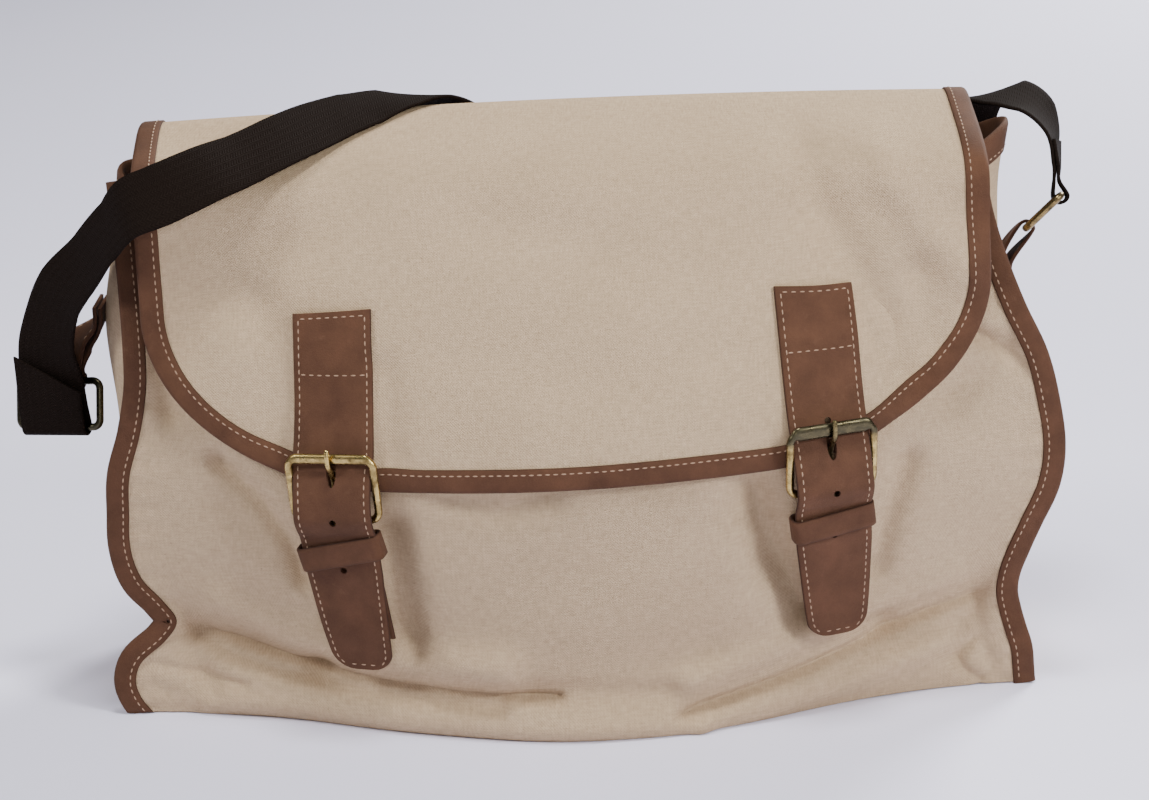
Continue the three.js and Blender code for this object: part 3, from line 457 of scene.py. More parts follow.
def canvas_material(group):
    """Undyed canvas: two tones of yarn, a little painted shade on the weave, dark flecks, no shine."""
    material, tree, shader = new_material("natural_canvas")
    weave = use_group(tree, group, Vector=flat_map(tree), Threads=1300.0, Slub=0.7)
    tone = spread(tree, weave["Shade"], -0.35, 0.35)
    cloth = blend(tree, tone, (0.372, 0.265, 0.161), (0.545, 0.402, 0.26))
    flecked = blend(tree, maths(tree, "MULTIPLY", weave["Fleck"], 0.65), cloth, (0.12, 0.078, 0.046))
    tree.links.new(flecked, shader.inputs["Base Color"])
    shader.inputs["Roughness"].default_value = 0.92
    shader.inputs["Specular IOR Level"].default_value = 0.15
    raise_bump(tree, shader, weave["Height"], 0.00032)
    return material


CANVAS_LOOK = canvas_material(weave_group())
print("made", CANVAS_LOOK.name)

# %% [markdown]
# ## Leather
#
# The trim is brown sueded leather: dull, with short fibres that lie in patches, and darker on its cut
# edges. Paint would look too even. Soft noise at two sizes gives the patches and the nap, and each piece
# carries a mask that says where its cut edges are.

# %% Leather nap
def nap_group():
    """Short fibres brushed in patches, as on the flesh side of leather, and fine pores."""
    tree, start, end = new_group(
        "nap",
        [("Vector", "NodeSocketVector", None), ("Patch", "NodeSocketFloat", 60.0)],
        [("Height", "NodeSocketFloat"), ("Tone", "NodeSocketFloat"), ("Scuff", "NodeSocketFloat")],
    )
    where, patch = start.outputs["Vector"], start.outputs["Patch"]
    brushed = speckle(tree, where, patch, 4.0, 0.6)
    fibre = speckle(tree, where, 1500.0, 3.0, 0.7)
    pores = put(tree, "ShaderNodeTexVoronoi", {"Vector": where, "Scale": 900.0}).outputs["Distance"]
    height = maths(tree, "ADD", maths(tree, "MULTIPLY", fibre, 0.7), maths(tree, "MULTIPLY", pores, 0.3))
    tree.links.new(height, end.inputs["Height"])
    mixed = maths(tree, "ADD", maths(tree, "MULTIPLY", brushed, 0.65), maths(tree, "MULTIPLY", fibre, 0.35))
    tree.links.new(mixed, end.inputs["Tone"])
    tree.links.new(spread(tree, speckle(tree, where, 130.0, 4.0, 0.7), 0.6, 0.75), end.inputs["Scuff"])
    return tree


def leather_material(group):
    """Brown sueded leather, darker on its cut edges, paler where it has been rubbed."""
    material, tree, shader = new_material("brown_suede")
    nap = use_group(tree, group, Vector=where_on(tree), Patch=55.0)
    tone = spread(tree, nap["Tone"], 0.3, 0.7)
    hide = blend(tree, tone, (0.056, 0.024, 0.0125), (0.106, 0.0475, 0.0245))
    rubbed = blend(tree, maths(tree, "MULTIPLY", nap["Scuff"], 0.2), hide, (0.17, 0.088, 0.052))
    edge = put(tree, "ShaderNodeAttribute", attribute_name="edge").outputs["Fac"]
    cut = blend(tree, maths(tree, "MULTIPLY", edge, 0.75), rubbed, (0.026, 0.010, 0.006))
    tree.links.new(cut, shader.inputs["Base Color"])
    shader.inputs["Roughness"].default_value = 0.8
    shader.inputs["Specular IOR Level"].default_value = 0.18
    shader.inputs["Sheen Weight"].default_value = 0.02
    raise_bump(tree, shader, nap["Height"], 0.00025)
    return material


LEATHER_LOOK = leather_material(nap_group())
print("made", LEATHER_LOOK.name)

# %% [markdown]
# ## Brass
#
# The buckles are brass that was dulled on purpose, so that it looks old: bright where it is rubbed and brown
# in patches. A mask paints shade in near black: a dark reflection on one buckle's upper bar, and shade on the
# rings. One recipe makes the brass of the buckles and a darker copy of it for the rings, as painted shade.

# %% Brass bloom
def bloom_group():
    """Dull patches and fine scratches on metal that is handled."""
    tree, start, end = new_group(
        "bloom",
        [("Vector", "NodeSocketVector", None)],
        [("Dull", "NodeSocketFloat"), ("Scratch", "NodeSocketFloat")],
    )
    where = start.outputs["Vector"]
    tree.links.new(spread(tree, speckle(tree, where, 190.0, 5.0, 0.65), 0.42, 0.66), end.inputs["Dull"])
    lines = speckle(tree, stretched(tree, where, (300.0, 300.0, 2400.0)), 1.0, 2.0)
    tree.links.new(lines, end.inputs["Scratch"])
    return tree


def brass_material(group, name, bright, dull):
    """Antique brass: bright where handled, brown where the bloom was left, near black where shade is painted.
    """
    material, tree, shader = new_material(name)
    bloom = use_group(tree, group, Vector=where_on(tree))
    worn = blend(tree, bloom["Dull"], bright, dull)
    # This mask paints shade on the metal: near black where a dark reflection or shade falls.
    painted_shade = put(tree, "ShaderNodeAttribute", attribute_name="edge").outputs["Fac"]
    colour = blend(tree, maths(tree, "MULTIPLY", painted_shade, 0.9), worn, (0.05, 0.048, 0.032))
    tree.links.new(colour, shader.inputs["Base Color"])
    shader.inputs["Metallic"].default_value = 1.0
    tree.links.new(spread(tree, bloom["Dull"], 0.0, 1.0, 0.24, 0.42), shader.inputs["Roughness"])
    raise_bump(tree, shader, bloom["Scratch"], 0.00006)
    return material


bloom = bloom_group()
BRASS_LOOK = brass_material(bloom, "antique_brass", (0.54, 0.40, 0.15), (0.165, 0.112, 0.04))
# The rings get a darker copy of the brass, as painted shade and dark reflection.
RING_SHADE_LOOK = brass_material(bloom, "brass_painted_dark_as_shade", (0.30, 0.21, 0.09), (0.035, 0.027, 0.016))
print("made", BRASS_LOOK.name, "and", RING_SHADE_LOOK.name)

# %% [markdown]
# ## Webbing, thread and paper
#
# The shoulder strap is dark cotton webbing with a slanting rib, and the sewing thread is pale and waxed.
# The paper under the bag is a cool near-white. Real ribs could be modelled, but at this distance a bump
# along the strap's own flat map looks the same and stays light.

# %% Webbing, thread and paper
def rib_group():
    """The ribs of a heavy strap webbing, slanting one way and back in turn every 2.4 millimetres across it.
    """
    tree, start, end = new_group(
        "rib",
        [("Vector", "NodeSocketVector", None), ("Pitch", "NodeSocketFloat", 0.0026)],
        [("Height", "NodeSocketFloat"), ("Tone", "NodeSocketFloat")],
    )
    flat, pitch = start.outputs["Vector"], start.outputs["Pitch"]
    parts = put(tree, "ShaderNodeSeparateXYZ", (flat,))
    folded = maths(tree, "PINGPONG", parts.outputs[0], 0.0024)
    slant = maths(tree, "ADD", maths(tree, "MULTIPLY", folded, 0.8), parts.outputs[1])
    turns = maths(tree, "MULTIPLY", maths(tree, "DIVIDE", slant, pitch), 2 * math.pi)
    ribs = maths(tree, "MULTIPLY", maths(tree, "ADD", maths(tree, "SINE", turns), 1.0), 0.5)
    valley = maths(tree, "DIVIDE", folded, 0.0024)
    height = maths(tree, "MULTIPLY", ribs, maths(tree, "ADD", maths(tree, "MULTIPLY", valley, 0.6), 0.4))
    tree.links.new(height, end.inputs["Height"])
    fuzz = speckle(tree, stretched(tree, flat, (1600.0, 500.0, 1.0)), 1.0, 3.0)
    # The tone adds the rib height to random fuzz: crests lighter and valleys darker, as painted shade.
    tree.links.new(maths(tree, "ADD", maths(tree, "MULTIPLY", height, 0.5), fuzz), end.inputs["Tone"])
    return tree


def webbing_material(group):
    """Nearly black cotton webbing with a dry, ribbed face, darker in its rib valleys as painted shade."""
    material, tree, shader = new_material("dark_webbing")
    rib = use_group(tree, group, Vector=flat_map(tree), Pitch=0.0016)
    tone = spread(tree, rib["Tone"], 0.35, 0.95)
    cotton = blend(tree, tone, (0.0058, 0.0032, 0.0021), (0.0115, 0.0073, 0.0054))
    tree.links.new(cotton, shader.inputs["Base Color"])
    shader.inputs["Roughness"].default_value = 0.9
    shader.inputs["Specular IOR Level"].default_value = 0.06
    raise_bump(tree, shader, rib["Height"], 0.00025)
    return material


def thread_material():
    """Waxed tan thread, twisted."""
    material, tree, shader = new_material("tan_thread")
    twist = speckle(tree, where_on(tree), 900.0)
    waxed = blend(tree, twist, (0.24, 0.14, 0.08), (0.44, 0.29, 0.19))
    tree.links.new(waxed, shader.inputs["Base Color"])
    shader.inputs["Roughness"].default_value = 0.6
    return material


def floor_material():
    """Matt paper under the bag, a cool near-white."""
    material, tree, shader = new_material("studio_paper")
    fibres = speckle(tree, where_on(tree), 3.0)
    sheet = blend(tree, fibres, (0.82, 0.81, 0.97), (0.84, 0.83, 0.99))
    tree.links.new(sheet, shader.inputs["Base Color"])
    shader.inputs["Roughness"].default_value = 0.9
    shader.inputs["Specular IOR Level"].default_value = 0.1
    return material


WEBBING_LOOK = webbing_material(rib_group())
THREAD_LOOK = thread_material()
PAPER_LOOK = floor_material()
print("made", WEBBING_LOOK.name, "and", THREAD_LOOK.name, "and", PAPER_LOOK.name)

# %% [markdown]
# ## The shoulder strap
#
# The strap is one length of webbing. It is sewn round the ring at one side, climbs over the flap, goes
# down behind the bag and comes up to the ring at the other side. A curve with a bevel could make it, but
# would twist where it likes. A ribbon with a direction across it at every row turns just as the real strap
# does. It comes first, because everything else has to stay clear of it.

# %% Strap rows
WEBBING_WIDTH = 38
WEBBING_THICKNESS = 1.8
WIRE = 4
CLEAR = 0.4
ROW_STEPS = 7
END_SLANT = 1.2

# The last value of each ring paints shade on its metal, towards near black: fully on the left ring, which
# hangs in shade between the strap and the bag, and a little on the right one.
RINGS = {
    "left": {"centre": (-270, -12, 161.5), "bar": (-0.94, 0.33, -0.07), "towards": (-0.031, -0.3, -1),
             "painted_shade": 1.0},
    "right": {"centre": (254, 8, 242.5), "bar": (0.16, 0.955, -0.25), "towards": (0.732, 0.055, 0.679),
              "painted_shade": 0.2},
}
RING_WIDTH = 52
RING_LENGTH = 28.4
RING_CORNER = 6

STRAP_START = [
    (-273.6, -20, 180, -0.94, 0.33, -0.07),
    (-273.6, -19.6, 166, -0.94, 0.33, -0.07),
]
STRAP_ROUND = [
    (-272, -13, 162, -0.94, 0.33, -0.07), (-272.5, -15.8, 178, -0.94, 0.34, -0.07),
    (-272.5, -18.5, 195, -0.84, 0.52, -0.05), (-268.5, -21, 211, -0.74, 0.64, 0.05),
    (-262, -26, 225, -0.66, 0.7, 0.2), (-247, -38, 243, -0.47, 0.83, 0.28),
    (-230, -55, 264.4, -0.32, 0.84, 0.42), (-216.5, -65.5, 279.4, -0.32, 0.76, 0.56),
    (-200, -67, 286, -0.33, 0.7, 0.62), (-178, -57, 293.5, -0.4, 0.74, 0.53),
    (-158, -40, 298, -0.42, 0.8, 0.42), (-139, -22, 303.2, -0.4, 0.82, 0.4),
    (-121, -2, 307, -0.4, 0.85, 0.34), (-104, 14, 309.5, -0.4, 0.88, 0.25),
    (-85, 32, 311, -0.42, 0.9, 0.02), (-67, 48, 306, -0.52, 0.8, -0.28),
    (-53, 57, 290, -0.76, 0.45, -0.47), (-38, 62, 262, -0.86, 0.12, -0.5),
    (-22, 67, 228, -0.88, 0.08, -0.47), (-4, 74, 190, -0.87, 0.04, -0.49),
    (20, 79.5, 150, -0.8, 0, -0.6), (44, 80.5, 110, -0.72, 0, -0.69),
    (75, 79.5, 80, -0.42, 0, -0.91), (110, 77, 70, 0.06, 0, -1),
    (145, 73.5, 84, 0.56, 0, -0.83), (170, 70, 120, 0.84, 0, -0.54),
    (188, 64.5, 168, 0.92, 0, -0.38), (202, 58, 210, 0.95, 0.03, -0.32),
    (208, 57.5, 248, 0.95, 0.05, -0.3), (216, 58.5, 275, 0.94, 0.2, -0.25),
    (226, 56, 293, 0.88, 0.45, -0.1), (238, 42, 300, 0.6, 0.75, 0.15),
    (251.5, 28, 295, 0.38, 0.9, 0.12), (259.6, 17.5, 281, 0.26, 0.95, -0.1),
    (260.4, 13.6, 266, 0.2, 0.955, -0.22), (259.9, 11, 258.5, 0.17, 0.955, -0.24),
]
STRAP_END = [
    (262.5, 10.6, 258.5, 0.17, 0.955, -0.24), (262.7, 13.2, 266, 0.2, 0.955, -0.22),
    (262.1, 16.8, 279, 0.25, 0.95, -0.12),
]
LEFT_TURNS = (1.57, 0.79, 0, -0.79, -1.57)
RIGHT_TURNS = (3.96, 3.17, 2.39, 1.6, 0.81)
print("strap rows:", len(STRAP_START) + len(STRAP_ROUND) + len(STRAP_END))

# %% [markdown]
# Webbing bends easily one way and hardly at all the other. A tube would hide that, so the strap is a
# ribbon: a curve through its rows, with a step across it that turns from row to row. Round a ring's bar
# the rows lie on a circle, just clear of the metal.

# %% Shoulder strap
def ring_axes(ring):
    """The ring's middle and its three directions: along its bar, towards its far bar, and square to both."""
    bar = unit(np.array(ring["bar"], float))
    towards = np.array(ring["towards"], float)
    towards = unit(towards - bar * (towards @ bar))
    return np.array(ring["centre"], float), bar, towards, np.cross(bar, towards)


def round_bar(ring, side, thickness, turns, aside):
    """Rows of a ribbon round one of the ring's long bars: a circle about the bar, clear of its metal."""
    centre, bar, towards, square = ring_axes(ring)
    turns = np.array(turns, float)[:, None]
    radius = WIRE / 2 + 2 * CLEAR + thickness / 2
    reach = side * (RING_LENGTH - WIRE) / 2 + radius * np.cos(turns)
    points = centre + bar * aside + towards * reach + square * radius * np.sin(turns)
    return np.concatenate([points, np.broadcast_to(bar, points.shape)], 1)


def ribbon(rows, slant=0):
    """A flat ribbon: the curve through the rows, plus a step across it. The direction across is mixed between
    two rows and squared to the curve. A slant pulls one corner of the first end on and the other back."""
    rows = np.asarray(rows, float)

    def surface(across, along):
        across, along = np.broadcast_arrays(across, along)
        along = along - slant * across * np.clip(1.5 - along, 0, 1.5) / 1.5
        row = np.clip(np.floor(along).astype(int), 0, len(rows) - 2)
        share = (along - row)[..., None]
        middle = curve_through(rows[:, :3], along)
        onward = unit(curve_through(rows[:, :3], along + STEP) - curve_through(rows[:, :3], along - STEP))
        sideways = rows[row, 3:] * (1 - share) + rows[row + 1, 3:] * share
        sideways = unit(sideways - onward * (sideways * onward).sum(-1, keepdims=True))
        return middle + sideways * across[..., None]

    return surface


def run_along(points):
    """The distance run along a line of points, at each one."""
    return np.concatenate([[0], np.cumsum(np.linalg.norm(np.diff(points, axis=0), axis=1))])


strap_rows = np.concatenate([
    STRAP_START, round_bar(RINGS["left"], 1, WEBBING_THICKNESS, LEFT_TURNS, 2),
    STRAP_ROUND, round_bar(RINGS["right"], 1, WEBBING_THICKNESS, RIGHT_TURNS, 0), STRAP_END,
])
strap_surface = ribbon(strap_rows, END_SLANT / WEBBING_WIDTH)
strap_places = np.linspace(0, len(strap_rows) - 1, (len(strap_rows) - 1) * ROW_STEPS + 1)
strap_middle = strap_surface(np.zeros(len(strap_places)), strap_places)
strap_length = run_along(strap_middle)
webbing_strap = add_carried(
    "webbing_strap", strap_surface, sheet_outline(near_ends(12, WEBBING_WIDTH / 2, 0.5), WEBBING_THICKNESS),
    strap_places, WEBBING_LOOK, ["shoulder_strap"],
    flat=lambda across, along: place(across, np.interp(along, strap_places, strap_length)),
)
print("strap length in millimetres:", round(float(strap_length[-1])))

# %% [markdown]
# ## The canvas body
#
# The body is a front, a back, two side gussets and a base. A full soft bag swells most in the middle and
# is pinched where the seams are. Blowing up a flat mesh would give a cushion, so the seams are written
# down instead: each table gives, at some heights, where the seams run and how far the middle stands out.
# Each flat map starts at a place of its own, but the two gussets share one, so that only they show the
# same patch of weave.

# %% Seams of the body
CANVAS = 1.6
SEAM_TOP = 285
GUSSET_TOP = 274
FRONT_CENTRE = 8
FOOT = 0.8
FOLDS_TOP = 60
BACK_TOP = 290
TUCK = 6
TOP_TUCK = 4
GUSSET_INSET = 1.6
GUSSET_CROWN = {"left": 5, "right": 11}
SIGN = {"left": -1, "right": 1}
BODY_HALF_WIDTH = 222
FRONT_HALF_WIDTH = 228
BASE_DEPTH = 140
GUSSET_CUT = (115, 286)
FLAT_SHIFT = {"base": 500, "back": 900, "gusset": 1500, "flap": 2100}

FRONT = table("z left right seam middle fullness", [
    (0, -227, 232, -54, -104, 1), (10, -233, 231, -55, -108, 0.98), (20, -235, 230, -55, -110, 0.95),
    (30, -231, 227, -54, -109, 0.92), (41, -218, 224, -53, -107, 0.88), (52, -211, 222, -53, -107, 0.84),
    (64, -217, 223, -54, -109, 0.79), (78, -227, 227, -56, -111, 0.74), (96, -231, 234, -58, -113, 0.7),
    (116, -230, 242, -59, -114, 0.67), (136, -228, 244, -60, -113, 0.65), (158, -221, 241, -59, -109, 0.64),
    (182, -216, 235, -57, -100, 0.62), (206, -215, 224, -54, -88, 0.6), (230, -216, 215, -47, -74, 0.58),
    (256, -218, 208, -37, -57, 0.55), (285, -221, 205, -26, -34, 0.5),
])
BACK = table("z left right seam middle", [
    (0, -222, 222, 60, 66), (30, -222, 221, 60, 71), (78, -224, 223, 59, 76), (136, -226, 226, 57, 77),
    (206, -219, 221, 49, 66), (256, -211, 214, 42, 50), (285, -209, 212, 39, 41), (290, -208, 211, 38, 40),
])
GUSSET = table("z left right", [
    (0, 2, 2), (30, 5, 3), (52, 14, 6), (78, 7, 5), (116, 6, 3), (158, 18, 3), (206, 27, 9), (256, 19, 18),
    (285, 14, 27),
])


def seam_x(rows, towards, z):
    """The x of a panel's seam: the left one where towards is below zero, and the right one elsewhere."""
    return np.where(towards < 0, column_at(rows, "left", z), column_at(rows, "right", z))


def add_cloth(name, surface, across, along, node, flat):
    """A canvas panel with its flat map, which stands in for one solid part."""
    panel = add_carried(
        name, surface, sheet_outline(across, CANVAS, False), along, CANVAS_LOOK, [node], flat=flat,
    )


past = 1 + TUCK / BODY_HALF_WIDTH
print("heights along the front seam:", len(FRONT["z"]))

# %% [markdown]
# ### The front
#
# The front shows the bag's character: long folds run in from its lower corners, and the cloth is pulled
# into hollows beside the straps. Each fold is a line with a depth and a width in millimetres, and a
# negative depth is a roll that stands out. The cloth is drawn a little way past each seam, into the
# leather that binds it.

# %% Front panel
FRONT_PUCKER = 220
FRONT_FOLDS = [
    (9, 9, 0, [(-214, 54), (-135, 30)]), (6, 8, 0, [(-135, 30), (45, 23)]),
    (7, 10, 0, [(220, 58), (160, 42)]), (6, 9, 0, [(160, 42), (62, 18)]),
    (5, 8, 0, [(216, 52), (198, 20)]), (5, 8, 0, [(-206, 44), (-196, 16)]),
    (4, 13, 0, [(-178, 128), (-148, 92)]), (4, 11, 0, [(84, 122), (98, 88)]),
    (4, 12, 0, [(226, 186), (196, 168)]),
    (6, 3.2, 0, [(-213, 52), (-190, 42), (-160, 34), (-135, 28), (-100, 25), (-60, 23), (-10, 22)]),
    (5, 3.4, 0, [(-206, 44), (-186, 33), (-160, 26), (-130, 21), (-95, 19), (-40, 17)]),
    (2.5, 3, 0, [(-226, 29), (-204, 23), (-177, 18)]),
    (2, 3, 0, [(-228, 20), (-220, 12)]),
    (-7.5, 12, 0, [(-186, 64), (-150, 49), (-100, 43), (-40, 41)]),
    (-6, 8, 0, [(-196, 9), (-120, 7), (-40, 6), (60, 4)]),
    (5.5, 3.4, 0, [(222, 54), (203, 47), (183, 42), (160, 35), (135, 28), (109, 22), (84, 17), (53, 10)]),
    (2.5, 6, 0, [(202, 37), (159, 27), (135, 20)]),
    (-4.5, 11, 0, [(196, 62), (160, 51), (110, 39), (60, 29)]),
    (-4, 8, 0, [(190, 27), (150, 16), (100, 7), (66, 4)]),
    (4.5, 5, 0, [(212, 46), (215, 29), (221, 10)]),
    (3, 3, 1, [(210, 25), (202, 17), (205, 10), (214, 4)]),
    (7, 6, 2, [(-180, 146), (-160, 127), (-145, 104), (-139, 82)]),
    (9, 9, 1, [(-92, 116), (-88, 84), (-82, 46)]),
    (11, 10, 2, [(92, 132), (102, 98), (116, 60)]),
    (7, 9, 1.5, [(170, 136), (161, 106), (155, 78)]),
    (9, 5, 3, [(204, 200), (227, 186), (242, 173)]),
    (10, 7, 0, [(222, 226), (227, 206), (236, 188)]),
    (12, 7, 0, [(-214, 216), (-212, 192), (-206, 170)]),
    (3, 8, 2, [(-60, 134), (-36, 128), (-12, 136)]),
    (2.5, 12, 1.5, [(-20, 30), (20, 36), (66, 44)]),
]


def front_depth(x, z):
    """The front swells from the seam to the middle as a power of a cosine of the share of the way out."""
    aside = x - FRONT_CENTRE
    share = np.minimum(1, np.abs(aside / (seam_x(FRONT, aside, z) - FRONT_CENTRE)))
    swell = np.maximum(0, np.cos(np.pi / 2 * share)) ** (2 * column_at(FRONT, "fullness", z))
    seam = column_at(FRONT, "seam", z)
    return seam + (column_at(FRONT, "middle", z) - seam) * swell


def front_surface(share, z):
    """The front by its share of the way to a seam and by height, with its folds, ripples and puckers."""
    share, z = np.broadcast_arrays(share, z)
    x = FRONT_CENTRE + np.abs(share) * (seam_x(FRONT, share, z) - FRONT_CENTRE)
    fade = np.maximum(0, 1 - share ** 16)
    folds = crease_depth(FRONT_FOLDS, x, z) + ripple(x, z)
    return place(x, front_depth(x, z) + folds * fade + pucker(share, z, FRONT_PUCKER), z)


front_heights = np.concatenate([np.linspace(FOOT, FOLDS_TOP, 62)[:-1], np.linspace(FOLDS_TOP, SEAM_TOP, 98)])
add_cloth(
    "canvas_front", front_surface, np.linspace(-past, past, 270), front_heights, "front_panel",
    lambda share, z: place(share * FRONT_HALF_WIDTH, z),
)
print("front folds:", len(FRONT_FOLDS))

# %% [markdown]
# ### The back and the base
#
# The back lies against the wearer, so it is flatter, with a few soft folds. The base is drawn straight
# from the foot of the front to the foot of the back, which keeps the three panels joined however the front
# bulges.

# %% Back panel and base
BACK_PUCKER = 215
BACK_CREASES = [
    (5, 15, 0, [(-212, 66), (-150, 46), (-84, 40)]), (5, 13, 0, [(212, 78), (156, 56), (92, 34)]),
    (4, 17, 0, [(-196, 214), (-130, 178), (-74, 166)]), (3.5, 15, 0, [(66, 226), (112, 190), (170, 176)]),
    (3, 18, 0, [(-206, 122), (-168, 112), (-110, 118)]), (3, 20, 0, [(-30, 60), (30, 52), (70, 64)]),
    (4, 10, 0, [(-204, 36), (-186, 18), (-178, 4)]), (4, 10, 0, [(200, 44), (186, 22), (184, 4)]),
]


def back_depth(x, z):
    """The back swells as a cosine."""
    swell = np.cos(np.pi / 2 * np.minimum(1, np.abs(x / seam_x(BACK, x, z))))
    seam = column_at(BACK, "seam", z)
    return seam + (column_at(BACK, "middle", z) - seam) * swell


def back_surface(share, z):
    """The back by its share of the way to a seam and by height, with its soft folds and ripples."""
    share, z = np.broadcast_arrays(share, z)
    x = np.abs(share) * seam_x(BACK, share, z)
    fade = np.maximum(0, 1 - share ** 8)
    folds = 0.7 * ripple(x, z) - crease_depth(BACK_CREASES, x, z)
    return place(x, back_depth(x, z) + folds * fade + pucker(share, z, BACK_PUCKER), z)


def base_surface(across, depth):
    """The base: straight lines from the foot of the front to the foot of the back, just off the floor."""
    across, depth = np.broadcast_arrays(across, depth)
    front, back = (surface(across, np.zeros(across.shape)) for surface in (front_surface, back_surface))
    inset = CANVAS / 2 + CLEAR
    x = front[..., 0] + (back[..., 0] - front[..., 0]) * depth - np.sign(across) * across ** 2 * CANVAS
    y = front[..., 1] + inset + (back[..., 1] - front[..., 1] - 2 * inset) * depth
    return place(x, y, np.full(x.shape, CANVAS / 2))


add_cloth(
    "canvas_back", back_surface, np.linspace(-past, past, 120), np.linspace(FOOT, BACK_TOP, 100),
    "back_panel", lambda share, z: place(share * BODY_HALF_WIDTH + FLAT_SHIFT["back"], z),
)
add_cloth(
    "canvas_base", base_surface, np.linspace(-0.99, 0.99, 80), np.linspace(0.01, 0.99, 24), "base_panel",
    lambda share, depth: place(share * BODY_HALF_WIDTH, depth * BASE_DEPTH + FLAT_SHIFT["base"]),
)
print("back folds:", len(BACK_CREASES))

# %% [markdown]
# ### The side walls
#
# A gusset is a strip between the front and the back that gives the bag its depth. It bows outwards when
# the bag is full, most of all near the top, where nothing holds it. Half a sine wave across a straight
# line is enough.

# %% Gussets
def gusset_surface(side):
    """A side wall: a straight line from the front seam to the back one, bowed out by half a sine wave."""
    def surface(share, z):
        share, z = np.broadcast_arrays(share, z)
        front_x, back_x = column_at(FRONT, side, z), column_at(BACK, side, z)
        front_y = column_at(FRONT, "seam", z) + GUSSET_INSET
        back_y = column_at(BACK, "seam", z) - GUSSET_INSET
        bow = np.sin(np.pi * np.clip(share, 0, 1))
        y = front_y + (back_y - front_y) * share
        belly = (column_at(GUSSET, side, z) + 0.9 * ripple(1.4 * y, z) - 0.4) * bow
        crown = GUSSET_CROWN[side] * bow * (z / GUSSET_TOP) ** 8
        x = front_x + (back_x - front_x) * share + SIGN[side] * (belly - CANVAS / 2)
        return place(x, y, z + crown)

    return surface


for side in SIGN:
    add_cloth(
        "canvas_gusset_" + side, gusset_surface(side), np.linspace(0, 1, 70),
        np.linspace(FOOT, GUSSET_TOP + TOP_TUCK, 120), "gusset_" + side,
        lambda share, z: place(share * GUSSET_CUT[0] + FLAT_SHIFT["gusset"], z),
    )
print("gussets:", ", ".join(SIGN))

# %% [markdown]
# ## The flap
#
# The flap is one more panel, sewn low on the back, folded over the top of the bag and laid down the front.
# A cloth simulation could drape it, but then its dents would fall anywhere. Here a cubic runs through a
# few rows down its length, each set a little clear of the panel below. Its lower corners are quarter
# ellipses.

# %% Flap rows
BINDING_WIDTH = 11.5
FLAP_HALF_WIDTH = 215
FLAP_CORNER_WIDTH = 118
FLAP_CORNER_HEIGHT = 92
FLAP_EDGE_ROW = 10
BEHIND_ROWS = [(268, 4.2), (290, 4.2)]
OVER_ROWS = [(303, 30), (300, 2)]
FRONT_FLAP = table("z clear side", [
    (284, 9, 17), (256, 8, 15), (230, 7, 10), (206, 6, 8), (182, 6, 9), (158, 6, 9), (141, 6, 9), (112, 6, 9),
    (80, 6, 9), (34, 6, 9),
])


def flap_rows(x):
    """The flap's depth at each of its rows: behind the back, over the top, then clear of the front. Towards
    its sides it stands further off."""
    x = np.asarray(x, float)
    spread_out = np.minimum(1, np.abs(x) / FLAP_HALF_WIDTH) ** 4
    rows = [back_depth(x, np.full(x.shape, float(z))) + behind for z, behind in BEHIND_ROWS]
    rows += [np.full(x.shape, float(y)) for z, y in OVER_ROWS]
    for z, clear, side in zip(FRONT_FLAP["z"], FRONT_FLAP["clear"], FRONT_FLAP["side"]):
        rows.append(front_depth(x, np.full(x.shape, min(z, SEAM_TOP))) - clear - side * spread_out)
    return np.stack(rows)


FLAP_Z = np.concatenate([[z for z, _ in BEHIND_ROWS + OVER_ROWS], FRONT_FLAP["z"]]).astype(float)
FLAP_DROP = run_along(place(flap_rows(np.zeros(1))[:, 0], FLAP_Z))
FLAP_LENGTH = FLAP_DROP[FLAP_EDGE_ROW]
CORNER_DROP = FLAP_LENGTH - FLAP_CORNER_HEIGHT
STRAIGHT_HALF = FLAP_HALF_WIDTH - FLAP_CORNER_WIDTH
print("flap length in millimetres:", round(float(FLAP_LENGTH)))

# %% [markdown]
# A flap that was folded for long keeps a rounded ridge, and it dents where the straps pull. The ridge is a
# bell curve over the plain rows, and the dents are drawn like the folds of the front.

# %% Flap shape
FLAP_SKEW = 0.021
RIDGE_DROP = 52
RIDGE_REACH = 58
RIDGE_CROWN = 4
RIDGE_TILT = 0.008
RIDGE_FLARE = 6
DENTS_FROM = 70
DENTS_OVER = 40
FLAP_CREASES = [
    (8, 13, 0, [(120, 302), (128, 266), (142, 240), (156, 216), (170, 184)]),
    (-6, 12, 0, [(158, 304), (166, 279), (179, 259), (202, 234)]),
    (4, 10, 0, [(178, 230), (184, 198)]),
    (3, 16, 0, [(-40, 262), (60, 240)]),
    (2, 14, 0, [(-170, 236), (-140, 206), (-132, 186)]),
    (5, 20, 0, [(-192, 214), (-152, 244), (-112, 276)]),
    (1.8, 15, 0, [(-60, 206), (10, 190), (70, 200)]),
    (3, 12, 0, [(-154, 226), (-146, 160)]),
    (3, 9, 0, [(-92, 196), (-90, 158)]),
    (2.5, 9, 0, [(157, 204), (162, 166)]),
]


